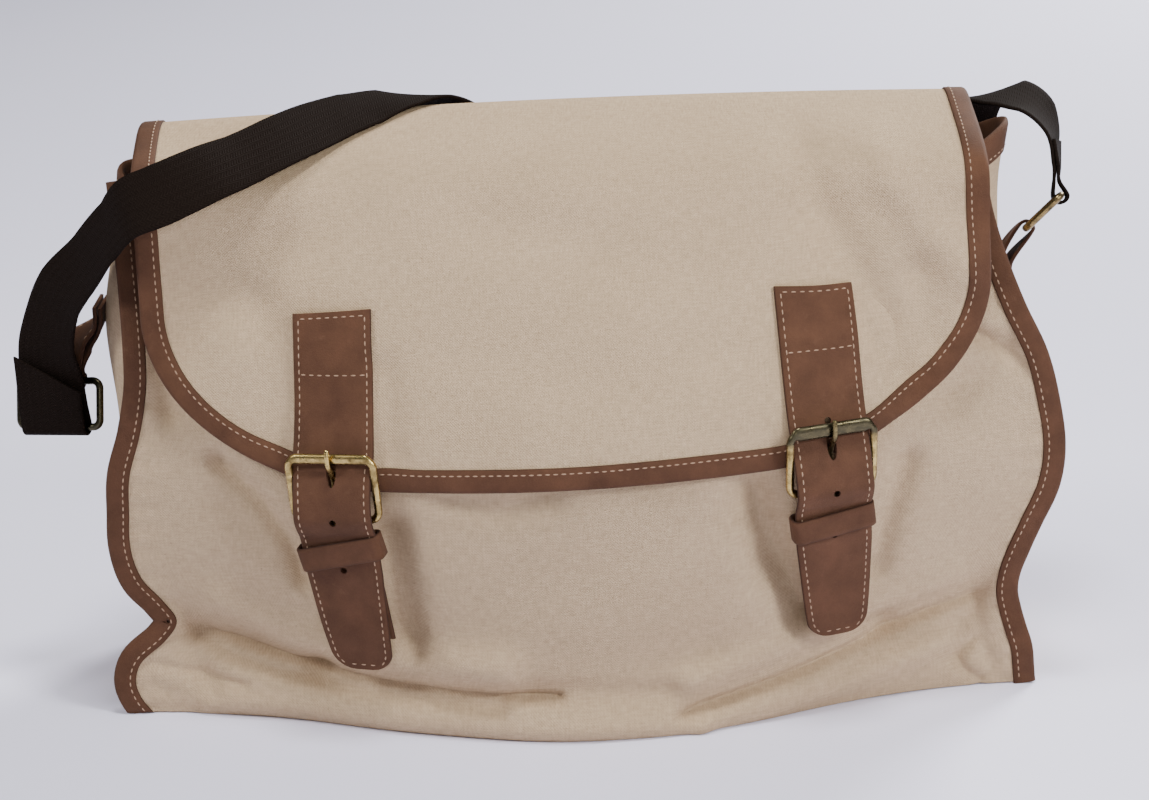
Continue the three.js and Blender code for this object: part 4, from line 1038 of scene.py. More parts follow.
def plain_flap(x, drop):
    """The flap by x and by the distance down from its hem: a cubic through its rows, crowned at the ridge."""
    x, drop = np.broadcast_arrays(np.asarray(x, float), np.asarray(drop, float))
    down = drop * (1 - FLAP_SKEW * x / FLAP_HALF_WIDTH)
    z = smooth(FLAP_DROP, FLAP_Z, down)
    y = smooth(FLAP_DROP, flap_rows(x), down)
    share = x / FLAP_HALF_WIDTH
    ridge = np.exp(-(((drop - RIDGE_DROP) / RIDGE_REACH) ** 2))
    lift = (RIDGE_CROWN * (1 - share ** 2) + RIDGE_TILT * x) * ridge
    return place(x + RIDGE_FLARE * np.minimum(0, share) * ridge, y, z + lift)


def flap_point(x, drop):
    """The flap with its small creases and ripples, which fade out at the hem and behind the bag."""
    points = plain_flap(x, drop)
    shown = np.clip((drop - DENTS_FROM) / DENTS_OVER, 0, 1)
    points[..., 1] += shown * (crease_depth(FLAP_CREASES, x, points[..., 2]) + 0.8 * ripple(x + 40, drop))
    return points


print("dents in the flap:", len(FLAP_CREASES))

# %% [markdown]
# The flap's edge is needed twice, by its canvas and by its binding. One function gives the width at a
# drop, and the other walks round the edge from hem to hem.

# %% Flap outline
def flap_half_width(drop, margin):
    """Half the flap's width: full down to the corners, which are elliptic."""
    below = np.maximum(0, drop - CORNER_DROP) / (FLAP_CORNER_HEIGHT - margin)
    return STRAIGHT_HALF + (FLAP_CORNER_WIDTH - margin) * np.sqrt(np.maximum(0, 1 - below ** 2))


def flap_outline(turn, margin):
    """The flap's outline as x and drop. Turn runs from 0 at the left hem to 6 at the right one: side, corner
    and half the front edge take 1 each."""
    turn, margin = np.broadcast_arrays(np.asarray(turn, float), np.asarray(margin, float))
    sign, way = np.where(turn < 3, -1.0, 1.0), np.where(turn < 3, turn, 6 - turn)
    angle = np.clip(way - 1, 0, 1) * np.pi / 2
    x = STRAIGHT_HALF * np.clip(3 - way, 0, 1) + (FLAP_CORNER_WIDTH - margin) * np.cos(angle)
    drop = CORNER_DROP * np.minimum(way, 1) + (FLAP_CORNER_HEIGHT - margin) * np.sin(angle)
    return sign * np.where(way <= 1, FLAP_HALF_WIDTH - margin, x), drop


print("straight front edge in millimetres:", 2 * STRAIGHT_HALF)

# %% [markdown]
# The canvas stops inside the binding, as it does on the bag. Its rows lie closer together round the
# corners, where the edge turns fastest, so that the curve shows no steps.

# %% Flap canvas
CLOTH_MARGIN = BINDING_WIDTH - TUCK


def flap_cloth(share, drop):
    """The flap's canvas by its share of the width, drawn a little way into its binding."""
    return flap_point(share * flap_half_width(drop, CLOTH_MARGIN), drop)


corner_drops = CORNER_DROP + (FLAP_CORNER_HEIGHT - CLOTH_MARGIN) * np.sin(np.linspace(0, np.pi / 2, 60))
flap_drops = np.concatenate([np.linspace(0, CORNER_DROP, 110)[:-1], corner_drops])
canvas_flap = add_carried(
    "canvas_flap", flap_cloth, sheet_outline(np.linspace(-1, 1, 170), CANVAS, False), flap_drops,
    CANVAS_LOOK, ["flap"],
    flat=lambda share, drop: place(share * flap_half_width(drop, CLOTH_MARGIN), drop + FLAT_SHIFT["flap"]),
)
print("rows down the flap:", len(flap_drops))

# %% [markdown]
# ## Leather bindings
#
# A raw canvas edge frays, so it is bound: a strip of leather is folded over it and sewn through. A plain
# tube would show no edge on the cloth. A narrow U, with the cloth between its two leaves, is carried along
# each seam and round the flap, as the real strip is.

# %% Binding strips
LEAF = 1.8
SLOT = 0.95
TOP_WIDTH = 12
TOP_OVERLAP = 5


def binding_outline(width):
    """A folded strip, seen from its end: out along one leaf, round the fold, back along the other, and then
    the same way inside."""
    outer = np.array([
        (-0.3, 1.3), (0.2, LEAF), (width * 0.3, LEAF), (width - 2, LEAF), (width - 0.7, 1.3), (width, 0.5),
    ])
    inner = place([-0.3, 1, width * 0.3, width * 0.5, width * 0.6, width - 3], SLOT)
    low = np.array([1, -1])
    return np.concatenate([outer, outer[::-1] * low, inner * low, inner[::-1]])


def seam_strip(rows, side):
    """A strip that starts at a seam and stands out square to it, with a slow wave along its free edge."""
    def surface(out, z):
        out, z = np.broadcast_arrays(out, z)
        lean = column_at(rows, side, z + 1) - column_at(rows, side, z - 1)
        square = unit(place(np.full(z.shape, 2.0), np.zeros(z.shape), -lean)) * SIGN[side]
        wave = 0.35 * np.sin(z / 7 + np.sin(z / 13)) * out / BINDING_WIDTH
        seam = place(column_at(rows, side, z), column_at(rows, "seam", z) + wave, z)
        points = seam + square * (out + CLEAR)[..., None]
        points[..., 2] = np.maximum(points[..., 2], 0)
        return points

    return surface


def top_strip(side):
    """A strip along the top of a gusset, as the gusset would go on upwards."""
    gusset = gusset_surface(side)
    return lambda rise, share: gusset(share, GUSSET_TOP - TOP_OVERLAP + rise)


def flap_edge(out, turn):
    """The strip round the flap: the flap itself between its canvas and its outline."""
    return flap_point(*flap_outline(turn, BINDING_WIDTH - out))


print("binding tools ready")

# %% [markdown]
# All seven strips are the same U, so one table names each with its surface, its steps and its width, and
# one loop sews them on.

# %% Bindings
def cut_edge(out, along):
    """A mask of a strip's raw edge, where it lies on the cloth."""
    return (out < 0.1).astype(float)


BINDINGS = {"flap_binding": (flap_edge, np.linspace(0, 6, 420), BINDING_WIDTH)}
for side in SIGN:
    BINDINGS["seam_binding_" + side] = seam_strip(FRONT, side), np.linspace(0, SEAM_TOP, 170), BINDING_WIDTH
    BINDINGS["back_binding_" + side] = seam_strip(BACK, side), np.linspace(0, GUSSET_TOP, 120), BINDING_WIDTH
    BINDINGS["top_binding_" + side] = top_strip(side), np.linspace(0.09, 0.95, 50), TOP_WIDTH
leather_bindings = {
    name: add_carried(
        "leather_" + name, surface, binding_outline(width), along, LEATHER_LOOK, [name],
        edges=cut_edge,
    )
    for name, (surface, along, width) in BINDINGS.items()
}
print("bindings:", len(leather_bindings))

# %% [markdown]
# ## Closing straps
#
# Two straps close the flap. Straps, buckles, keepers and tabs all lie on the flap or hang below it, so
# they share one way to name a place: across the strap, down the flap, and out from it. Placing each by
# hand in space would break whenever the flap's shape is corrected.

# %% Places on a closure
TAIL_LENGTH = 92
# On the right closure a painted dark reflection turns the buckle's upper bar nearly black, and its prong a
# little less.
CLOSURES = {
    "left": {"x": -118, "lean": -0.015, "swing": 9, "tab_aside": 2, "keeper": (45.6, 0.19), "painted_shade": 0,
             "slant": 0.05, "widen": 0.35, "holes": (127.5, 100)},
    "right": {"x": 129, "lean": 0.055, "swing": 0, "tab_aside": 1.5, "keeper": (44.2, 0.065), "painted_shade": 1,
              "slant": -0.08, "widen": 0.9, "holes": (162.5, 127, 102.5)},
}
fine_drop = np.linspace(FLAP_DROP[3], FLAP_DROP[-1] + 30, 3000)
fine_height = smooth(FLAP_DROP, FLAP_Z, fine_drop)


def drop_to(z):
    """The distance down the flap's middle to a height on the front."""
    return np.interp(-np.asarray(z, float), -fine_height, fine_drop)


def closure_point(closure, across, drop, out):
    """A place on a closure: across the strap, down the flap and out from it. The tail swings to one side."""
    below = drop - FLAP_LENGTH
    swing = closure["swing"] * (np.maximum(0, below) / TAIL_LENGTH) ** 1.5
    x = closure["x"] + closure["lean"] * below + swing + across
    x, drop = np.broadcast_arrays(x, drop)
    return flap_point(x, drop) - facing(flap_point, x, drop) * np.asarray(out, float)[..., None]


def closure_frame(closure, z, towards):
    """A rigid frame on a closure: its origin at one height, then across, up to a second height, and out."""
    def at(across, height):
        return closure_point(closure, np.array([across]), drop_to([height]), np.zeros(1))[0]

    origin = at(0.0, z)
    across = unit(at(1.0, z) - at(-1.0, z))
    up = unit(at(0.0, towards) - origin)
    out = unit(np.cross(across, up))
    return origin, np.cross(up, out), up, out


def in_frame(axes, points):
    """Points given as across, up and out, moved into a frame."""
    origin, across, up, out = axes
    return origin + points[..., :1] * across + points[..., 1:2] * up + points[..., 2:] * out


print("closures:", ", ".join(CLOSURES))

# %% [markdown]
# ### Their shape
#
# Each strap is sewn flat to the flap at its top, lifts over the bar of its buckle, dips behind it and ends
# in a blunt tapered tail. A simulated strap would have to be threaded through the buckle. A short list of
# heights, each with its distance from the flap, says the same.

# %% Strap shape
LEATHER = 2.2
STRAP_WIDTH = 39.4
STRAP_TIP_WIDTH = 29
STRAP_TIP_CORNER = 10
TAPER_FROM = 98
TAPER_BEND = 0.7
SLANT_FROM = 196
SLANT_OVER = 30
STRAP_ROWS = np.array([
    (226, 2.2), (202, 2.2), (180, 2.3), (166, 3.4), (152, 6.6), (142, 8.8), (134, 9.7), (128, 9.8),
    (123, 7.6), (118.5, 4.8), (110, 3.2), (98, 2.9), (72, 2.4), (41.5, 1.3),
])


def strap_half_width(z):
    """Half the strap's width: even, then tapered to a tip with rounded corners."""
    rise = np.maximum(0, z - STRAP_ROWS[-1, 0])
    share = np.minimum(1, rise / (TAPER_FROM - STRAP_ROWS[-1, 0]))
    half = STRAP_TIP_WIDTH / 2 + (STRAP_WIDTH - STRAP_TIP_WIDTH) / 2 * share ** TAPER_BEND
    corner = np.maximum(0, STRAP_TIP_CORNER - rise)
    return half - STRAP_TIP_CORNER + np.sqrt(STRAP_TIP_CORNER ** 2 - corner ** 2)


def strap_over(closure):
    """A closing strap by its share of the width and by its row. Its top end may be cut at a slant."""
    def surface(share, along):
        share, along = np.broadcast_arrays(share, along)
        path = curve_through(STRAP_ROWS, along)
        z, out = path[..., 0], path[..., 1]
        across = share * strap_half_width(z)
        slant = closure["slant"] * across * np.clip((z - SLANT_FROM) / SLANT_OVER, 0, 1)
        return closure_point(closure, across, drop_to(z + slant), out)

    return surface


print("rows down a strap:", len(STRAP_ROWS))

# %% [markdown]
# ### Their holes
#
# A saddler makes round holes with a punch, and a longer slot for the prong. Dark spots painted on the
# leather would look flat from the side, so a small oval rod is taken away from the strap at each place, as
# a punch does.

# %% Punch
PUNCH_SIDES = 24


def punched(piece, cuts, depth=14):
    """Oval holes cut through a piece. Each cutter is an ellipse carried straight through."""
    angle = np.linspace(0, 2 * np.pi, PUNCH_SIDES, endpoint=False)
    sides = quads_of(2, PUNCH_SIDES)
    caps = [list(range(PUNCH_SIDES - 1, -1, -1)), list(range(PUNCH_SIDES, 2 * PUNCH_SIDES))]
    for axes, width, length in cuts:
        oval = place(width / 2 * np.cos(angle), length / 2 * np.sin(angle), np.zeros(PUNCH_SIDES))
        ends = [in_frame(axes, oval + [0, 0, end]) for end in (-depth / 2, depth / 2)]
        mesh = bpy.data.meshes.new("punch")
        mesh.from_pydata((np.concatenate(ends) * MM).tolist(), [], sides.tolist() + caps)
        mesh.materials.append(piece.data.materials[0])
        punch = bpy.data.objects.new("punch", mesh)
        bpy.context.scene.collection.objects.link(punch)
        cut = piece.modifiers.new("punch", "BOOLEAN")
        cut.operation, cut.solver, cut.object = "DIFFERENCE", "EXACT", punch
        bpy.context.view_layer.update()
        done = bpy.data.meshes.new_from_object(piece.evaluated_get(bpy.context.evaluated_depsgraph_get()))
        piece.modifiers.clear()
        piece.data = done
        bpy.data.objects.remove(punch)
    piece.data.set_sharp_from_angle(angle=SHARP)


print("punch ready")

# %% [markdown]
# The two straps differ in their lean, in the cut of their tops and in where their holes were punched, as
# two straps made by hand do. Their last steps lie close together, so that the blunt tip is round.

# %% Closing straps
STRAP_HOLE = 3.6
PRONG_SLOT = (151, 5, 15)
TIP_ROW = len(STRAP_ROWS) - 2


def thin_edge(share, along):
    """A mask of a strap's two cut edges, by its share of the width."""
    return (np.abs(share) > 0.985).astype(float)


strap_steps = np.concatenate([np.linspace(0, TIP_ROW, 150)[:-1], TIP_ROW + np.linspace(0, 1, 50) ** 0.6])
for side, closure in CLOSURES.items():
    strap = add_carried(
        "leather_strap_" + side, strap_over(closure), sheet_outline(near_ends(11, 1, 0.035), LEATHER),
        strap_steps, LEATHER_LOOK, ["closure_strap_" + side], edges=thin_edge,
    )
    cuts = []
    for z, width, length in [(z, STRAP_HOLE, STRAP_HOLE) for z in closure["holes"]] + [PRONG_SLOT]:
        origin, across, up, out = closure_frame(closure, z, z + 3)
        lift = np.interp(-z, -STRAP_ROWS[:, 0], STRAP_ROWS[:, 1])
        cuts.append(((origin + out * lift, across, up, out), width, length))
    punched(strap, cuts)
    print(side, "strap holes:", len(cuts))

# %% [markdown]
# ## Buckles
#
# A buckle frame is a rod bent to a rounded rectangle. Its prong is a shorter rod hooked round the lower
# bar, and it rests on the upper bar. Curve objects with a bevel could make both, but then the upper bar
# could not be wider than the rest. Both are made by carrying a circle along a line.

# %% Bent rods
def rounded_loop(width, height, corner, arc=14, straight=10):
    """A rounded rectangle as points and outward directions: four straights and four quarter circles."""
    angles = np.linspace(0, np.pi / 2, arc)
    turns = (angles[None] + np.arange(4)[:, None] * np.pi / 2).ravel()
    facing_x, facing_y = np.cos(turns), np.sin(turns)
    centre_x = np.repeat([1, -1, -1, 1], arc) * (width / 2 - corner)
    centre_y = np.repeat([1, 1, -1, -1], arc) * (height / 2 - corner)
    points = place(centre_x + corner * facing_x, centre_y + corner * facing_y)
    out = place(facing_x, facing_y)
    ends = np.arange(arc - 1, 4 * arc, arc)
    share = np.linspace(0, 1, straight + 2)[1:-1, None]
    joined, facings = [], []
    for end in ends:
        start = (end + 1) % (4 * arc)
        joined += [points[end - arc + 1:end + 1], points[end] + (points[start] - points[end]) * share]
        facings += [out[end - arc + 1:end + 1], np.repeat(out[end:end + 1], straight, 0)]
    return np.concatenate(joined), np.concatenate(facings)


def wire_loop(width, height, corner, widen=0.0):
    """A rod bent to a rounded rectangle: a circle about each point of the loop. The top bar may be wider."""
    middle, out = rounded_loop(width - WIRE, height - WIRE, corner - WIRE / 2)
    angle = np.linspace(0, 2 * np.pi, 20, endpoint=False)
    top = np.clip((middle[:, 1] / (height / 2 - WIRE / 2) - 0.93) / 0.07, 0, 1)[:, None]
    inward = WIRE / 2 * (1 + widen * top) * np.cos(angle)[None]
    across = WIRE / 2 * np.sin(angle)[None] * (1 - 0.1 * top)
    flat = middle[:, None] + out[:, None] * inward[..., None]
    return place(flat[..., 0], flat[..., 1], np.broadcast_to(across, flat.shape[:2]))


print("rod tools ready")

# %% [markdown]
# The frame leans out from the flap, because the strap passes under its upper bar. The prong's rows start
# below the lower bar, hook round it and run up through the slot in the strap to the upper bar.

# %% Buckle shapes
BUCKLE_WIDTH = 48.5
BUCKLE_HEEL = (127, 2.6)
BUCKLE_BAR = (159.5, 10)
BUCKLE_CORNER = 7
PRONG_RADIUS = 1.45
PRONG_THINS = 0.35
# The prong gets this share of its closure's painted dark reflection.
PRONG_PAINTED_SHADE = 0.8
PRONG_ROWS = np.array([
    (1.2, -3.6), (-2.5, -2.9), (-3.8, 0), (-2.4, 3.2), (0.4, 7), (1.7, 13), (2, 20), (6.6, 25.5), (10.2, 29),
    (11.6, 33), (11.5, 38),
])


def buckle_loop(closure):
    """A frame, tilted so that its two bars lie at their own distances from the flap, and a mask of the bar
    that gets a painted dark reflection."""
    rise, reach = BUCKLE_BAR[0] - BUCKLE_HEEL[0], BUCKLE_BAR[1] - BUCKLE_HEEL[1]
    height = math.hypot(rise, reach) + WIRE
    loop = wire_loop(BUCKLE_WIDTH, height, BUCKLE_CORNER, closure["widen"]) + [0, (height - WIRE) / 2, 0]
    cos, sin = rise / math.hypot(rise, reach), reach / math.hypot(rise, reach)
    up = loop[..., 1] * cos - loop[..., 2] * sin
    out = loop[..., 1] * sin + loop[..., 2] * cos + BUCKLE_HEEL[1]
    painted_shade = closure["painted_shade"] * np.clip((loop[..., 1] - height + 3 * WIRE) / WIRE, 0, 1)
    return place(loop[..., 0], up, out), painted_shade


def prong_rod():
    """A prong: a circle carried along its rows, a little wider than thick, and thinner towards the tip."""
    along = np.linspace(0, len(PRONG_ROWS) - 1, 80)
    line = curve_through(PRONG_ROWS, along)
    onward = unit(curve_through(PRONG_ROWS, along + STEP) - curve_through(PRONG_ROWS, along - STEP))
    angle = np.linspace(0, 2 * np.pi, 16, endpoint=False)[None]
    thick = (PRONG_RADIUS - PRONG_THINS * np.clip((along - 6) / 4, 0, 1))[:, None]
    thick[[0, -1]] *= 0.6
    lifted = thick * np.sin(angle)
    out = line[:, :1] - onward[:, 1:] * lifted + BUCKLE_HEEL[1]
    return place(1.1 * thick * np.cos(angle), line[:, 1:] + onward[:, :1] * lifted, out)


print("rows along a prong:", len(PRONG_ROWS))

# %% [markdown]
# Both buckles have the same size, but the upper bar of the right one is broader, with a painted dark
# reflection. Each sits in the rigid frame of its own strap, because metal doesn't bend with the leather.

# %% Buckles
for side, closure in CLOSURES.items():
    axes = closure_frame(closure, BUCKLE_HEEL[0], BUCKLE_BAR[0])
    loop, painted_shade = buckle_loop(closure)
    add_grid(
        "brass_frame_" + side, in_frame(axes, loop), BRASS_LOOK, ["buckle_frame_" + side], True,
        painted_shade,
    )
    prong = in_frame(axes, prong_rod())
    painted_shade = np.full(prong.shape[:2], PRONG_PAINTED_SHADE * closure["painted_shade"])
    add_grid("brass_prong_" + side, prong, BRASS_LOOK, ["buckle_prong_" + side], False, painted_shade)
    print(side, "buckle made")

# %% [markdown]
# ## Keepers and buckle tabs
#
# A keeper is a leather band sewn into a loop, which holds the tail down. Under each tail a tab runs up
# from the front panel, round the buckle's lower bar and back on itself, with a slot for the prong. Both
# could be cut from blocks, but leather keeps an even thickness, so a thin outline is bent along their
# paths instead.

# %% Keeper and tab shapes
TAB_LEATHER = 1.8
KEEPER_BAND = 13
KEEPER_Z = 110
KEEPER_BACK = -4
KEEPER_FRONT = 7.8
KEEPER_CORNER = 3.2
TAB_WIDTH = 31
TAB_SWING = (118, 30)
TAB_ROWS = np.array([(58, -3.2), (78, -2.2), (96, -0.9), (108, -0.5), (117, -0.9)])

heel_turn = np.linspace(3.7, -0.9, 11)
heel_radius = WIRE / 2 + 2 * CLEAR + TAB_LEATHER / 2
heel_rows = place(np.sin(heel_turn), np.cos(heel_turn)) * heel_radius + BUCKLE_HEEL
tab_path = np.concatenate([TAB_ROWS, heel_rows])


def tab_under(closure):
    """A buckle tab by its share of the width and by its row: up the front, round the bar and down again."""
    def surface(share, along):
        share, along = np.broadcast_arrays(share, along)
        path = curve_through(tab_path, along)
        aside = closure["tab_aside"] * np.clip((TAB_SWING[0] - path[..., 0]) / TAB_SWING[1], 0, 1)
        return closure_point(closure, share * TAB_WIDTH / 2 + aside, drop_to(path[..., 0]), path[..., 1])

    return surface


def keeper_loop(closure):
    """A keeper: a band's outline carried round a rounded rectangle and tilted, and a mask of its two rims."""
    width, tilt = closure["keeper"]
    middle, face = rounded_loop(width - TAB_LEATHER, KEEPER_FRONT - KEEPER_BACK - TAB_LEATHER, KEEPER_CORNER)
    band = sheet_outline(near_ends(6, KEEPER_BAND / 2, 0.6), TAB_LEATHER)
    over = middle[:, :1] + face[:, :1] * band[:, 1]
    out = middle[:, 1:] + face[:, 1:] * band[:, 1] + (KEEPER_FRONT + KEEPER_BACK) / 2
    rise = np.broadcast_to(band[:, 0], over.shape)
    cos, sin = math.cos(tilt), math.sin(tilt)
    rims = (np.abs(rise) > KEEPER_BAND / 2 - 0.1).astype(float)
    return place(over * cos - rise * sin, over * sin + rise * cos, out), rims


print("rows along a buckle tab:", len(tab_path))

# %% [markdown]
# The tab is punched like the straps, so that the prong has room to turn. The keeper's rims are cut
# leather, and a mask marks them for the darker edge.

# %% Keepers and buckle tabs
TAB_SLOT = (9, 16, 3.5)

for side, closure in CLOSURES.items():
    tab = add_carried(
        "leather_tab_" + side, tab_under(closure), sheet_outline(near_ends(9, 1, 0.04), TAB_LEATHER),
        np.linspace(0, len(tab_path) - 1, 110), LEATHER_LOOK, ["buckle_tab_" + side],
        edges=thin_edge,
    )
    origin, across, up, out = closure_frame(closure, BUCKLE_HEEL[0], BUCKLE_BAR[0])
    slot_at = origin + up * TAB_SLOT[2] + out * (BUCKLE_HEEL[1] + 1)
    punched(tab, [((slot_at, across, up, out), TAB_SLOT[0], TAB_SLOT[1])], TAB_SLOT[1])
    loop, rims = keeper_loop(closure)
    loop = in_frame(closure_frame(closure, KEEPER_Z, KEEPER_Z + KEEPER_BAND / 2), loop)
    add_grid("leather_keeper_" + side, loop, LEATHER_LOOK, ["keeper_" + side], True, rims)
    print(side, "keeper and tab made")

# %% [markdown]
# ## Side tabs and rings
#
# On each gusset a leather tab is sewn down, goes round the bar of a ring and comes back. The ring hangs
# where the strap pulls it, so its own directions come first, and the tab is a ribbon that follows them.
# Some of its rows lie on the gusset, and those take their x from it.

# %% Side tab rows
SIDE_TAB_WIDTH = 28
TAB_TURNS = (-1.6, -0.8, 0, 0.8, 1.6)
SIDE_TABS = {
    "left": [
        (None, -2, 214, 2.2, 0), (None, -2, 203, 2.2, 0),
        (-255, -2, 193, 0, 0.45), (-266, -4.5, 182, 0, 0.95),
        "turn",
        (-268, -10.5, 183, 0, 0.95), (-259, -7, 195, 0, 0.45),
        (None, -4, 205, 5, 0), (None, -4, 215, 5, 0),
    ],
    "right": [
        (None, 8, 198, 2.2, 0), (None, 8, 210, 2.2, 0), (None, 8, 222, 4, 0.5),
        "turn",
        (None, 8, 217, 8, 0.5), (None, 8, 208, 5.4, 0), (None, 8, 196, 5, 0),
    ],
}


def side_tab_rows(side):
    """Rows of a side tab: on the gusset or free, then round the ring's near bar, then back again."""
    bar = np.array(RINGS[side]["bar"], float)
    rows = []
    for row in SIDE_TABS[side]:
        if row == "turn":
            rows += round_bar(RINGS[side], -1, TAB_LEATHER, TAB_TURNS, 0).tolist()
            continue
        x, y, z, out, twist = row
        if x is None:
            x = float(gusset_surface(side)(np.array([0.5]), np.array([float(z)]))[0, 0]) + SIGN[side] * out
        rows.append([x, y, z, *(np.array([0, 1, 0]) * (1 - twist) + bar * twist)])
    return np.array(rows)


for side in SIGN:
    print(side, "tab rows:", len(side_tab_rows(side)))

# %% [markdown]
# The tabs are ribbons like the shoulder strap, cut from the leather of the trim. The rings are bent rods
# like the buckles, in the darker brass that paints shade on them.

# %% Side tabs and rings
def tab_edge(across, along):
    """A mask of a side tab's two cut edges."""
    return (np.abs(across) > SIDE_TAB_WIDTH / 2 - 0.1).astype(float)


for side in SIGN:
    rows = side_tab_rows(side)
    outline = sheet_outline(near_ends(8, SIDE_TAB_WIDTH / 2, 0.5), TAB_LEATHER)
    add_carried(
        "leather_side_tab_" + side, ribbon(rows), outline, np.linspace(0, len(rows) - 1, 12 * len(rows)),
        LEATHER_LOOK, ["side_tab_" + side], edges=tab_edge,
    )
    ring = in_frame(ring_axes(RINGS[side]), wire_loop(RING_WIDTH, RING_LENGTH, RING_CORNER))
    # The ring's colour carries its painted shade.
    painted_shade = np.full(ring.shape[:2], RINGS[side]["painted_shade"])
    add_grid("brass_ring_" + side, ring, RING_SHADE_LOOK, ["ring_" + side], True, painted_shade)
    print(side, "tab and ring made")

# %% [markdown]
# ## Stitches
#
# Every leather edge is sewn through in one running line of thick tan thread. A dashed line in the colour
# would be cheaper, but a real stitch catches the light. Each one is a short rod that dips into the leather
# at both ends. The lines are drawn on the surfaces themselves, so the stitches follow every bend.

# %% Stitch tools
PITCH = 4.0
STITCH_LONG = 2.5
STITCH_WIDE = 0.75
STITCH_HIGH = 0.55
STITCH_RINGS = 6
EDGE_STITCH = 3
OVER = np.linspace(-1, 1, 60)


def stitch_shape():
    """One stitch: rings along a rod, thinner and lower towards the ends."""
    along = np.linspace(-0.5, 0.5, STITCH_RINGS)[:, None]
    angle = np.linspace(0, 2 * np.pi, STITCH_RINGS, endpoint=False)[None]
    thick = np.sqrt(np.maximum(0.12, 1 - (2 * along) ** 2))
    dip = STITCH_HIGH * (0.25 - 1.6 * along ** 2)
    high = STITCH_HIGH / 2 * thick * np.sin(angle) + dip
    grid = place(STITCH_LONG * along, STITCH_WIDE / 2 * thick * np.cos(angle), high)
    last = end_quads(STITCH_RINGS, STITCH_RINGS * (STITCH_RINGS - 1))[:, ::-1]
    sides = quads_of(STITCH_RINGS, STITCH_RINGS)
    return grid.reshape(-1, 3), np.concatenate([sides, end_quads(STITCH_RINGS, 0), last])


def stitch_line(surface, across, along, lift):
    """Stitches at even distances along a line on a surface: across and along say where the line runs, and
    lift is how far the stitches lie from the middle of the leather, to either side."""
    across, along = np.broadcast_arrays(np.asarray(across, float), np.asarray(along, float))
    run = run_along(surface(across, along))
    count = max(1, int(run[-1] / PITCH))
    middle = (np.arange(count) + 0.5) * run[-1] / count
    at = lambda shift: [np.interp(middle + shift, run, values) for values in (across, along)]
    onward = unit(surface(*at(0.6)) - surface(*at(-0.6)))
    out = facing(surface, *at(0)) * np.sign(lift)
    centre = surface(*at(0)) + out * abs(lift)
    shape, quads = stitch_shape()
    axes = onward[:, None], np.cross(out, onward)[:, None], out[:, None]
    points = centre[:, None] + sum(shape[None, :, k:k + 1] * axes[k] for k in range(3))
    starts = (np.arange(count) * len(shape))[:, None, None]
    return points.reshape(-1, 3), (quads[None] + starts).reshape(-1, 4)


def add_stitches(name, lines):
    """Several stitch lines as one piece."""
    starts = np.cumsum([0] + [len(points) for points, _ in lines[:-1]])
    points = np.concatenate([points for points, _ in lines])
    quads = np.concatenate([quads + start for (_, quads), start in zip(lines, starts)])
    return add_piece(name, points, quads, THREAD_LOOK)


print("stitches to the decimetre:", round(100 / PITCH))

# %% [markdown]
# Bindings are sewn through both leaves at once, so each line of stitches shows on both faces.

# %% Flap and seam stitches
STITCH_IN = 2.7
TOP_STITCH_IN = 2
SEAM_MARGIN = 3
TURN_MARGIN = 0.02


def both_leaves(surface, inset, along, margin):
    """A stitch line on each leaf of a binding, from end to end less a margin."""
    places = np.linspace(along[0] + margin, along[-1] - margin, 400)
    return [stitch_line(surface, inset, places, lift) for lift in (LEAF, -LEAF)]


flap_turns = BINDINGS["flap_binding"][1]
flap_stitches = add_stitches("stitches_flap", both_leaves(flap_edge, STITCH_IN, flap_turns, TURN_MARGIN))
seam_lines = []
for name, (surface, along, width) in BINDINGS.items():
    if name != "flap_binding":
        inset, margin = (STITCH_IN, SEAM_MARGIN) if width == BINDING_WIDTH else (TOP_STITCH_IN, TURN_MARGIN)
        seam_lines += both_leaves(surface, inset, along, margin)
add_stitches("stitches_seams", seam_lines)
print("seam lines:", len(seam_lines))

# %% [markdown]
# A strap is sewn all round its edge. A second line across it, below the top, closes the box that holds it
# to the flap.

# %% Strap stitches
BOX_LENGTH = 33.5


def strap_stitches(closure):
    """Stitches down both edges of a strap, and across it at its top, below its sewn box and at its tip."""
    fine_rows = np.linspace(0, len(STRAP_ROWS) - 1, 800)
    run = drop_to(curve_through(STRAP_ROWS, fine_rows)[:, 0]) - drop_to(STRAP_ROWS[0, 0])
    lengths = EDGE_STITCH, BOX_LENGTH, run[-1] - EDGE_STITCH
    first, box, tip = (float(np.interp(length, run, fine_rows)) for length in lengths)
    rows = np.linspace(first, tip, 500)
    share = 1 - EDGE_STITCH / strap_half_width(curve_through(STRAP_ROWS, rows)[:, 0])
    across = OVER * share[0]
    lines = [(-share, rows), (share, rows), (across, first), (across, box), (OVER * 0.6, tip)]
    return [stitch_line(strap_over(closure), over, along, -LEATHER / 2) for over, along in lines]


strap_lines = [line for closure in CLOSURES.values() for line in strap_stitches(closure)]
add_stitches("stitches_straps", strap_lines)
print("strap lines:", len(strap_lines))

# %% [markdown]
# A tab is sewn down only at its end, with three short lines. The rest of it stays free to move.

# %% Tab stitches
def side_tab_stitches(side):
    """Stitches along both edges of a side tab's outer end, and across it."""
    rows = side_tab_rows(side)
    last, inset = len(rows) - 1, SIDE_TAB_WIDTH / 2 - EDGE_STITCH
    edge = np.linspace(last - 1.8, last - 0.2, 100)
    lines = [(-inset, edge), (inset, edge), (OVER * inset, last - 0.25)]
    return [stitch_line(ribbon(rows), across, along, -TAB_LEATHER / 2) for across, along in lines]


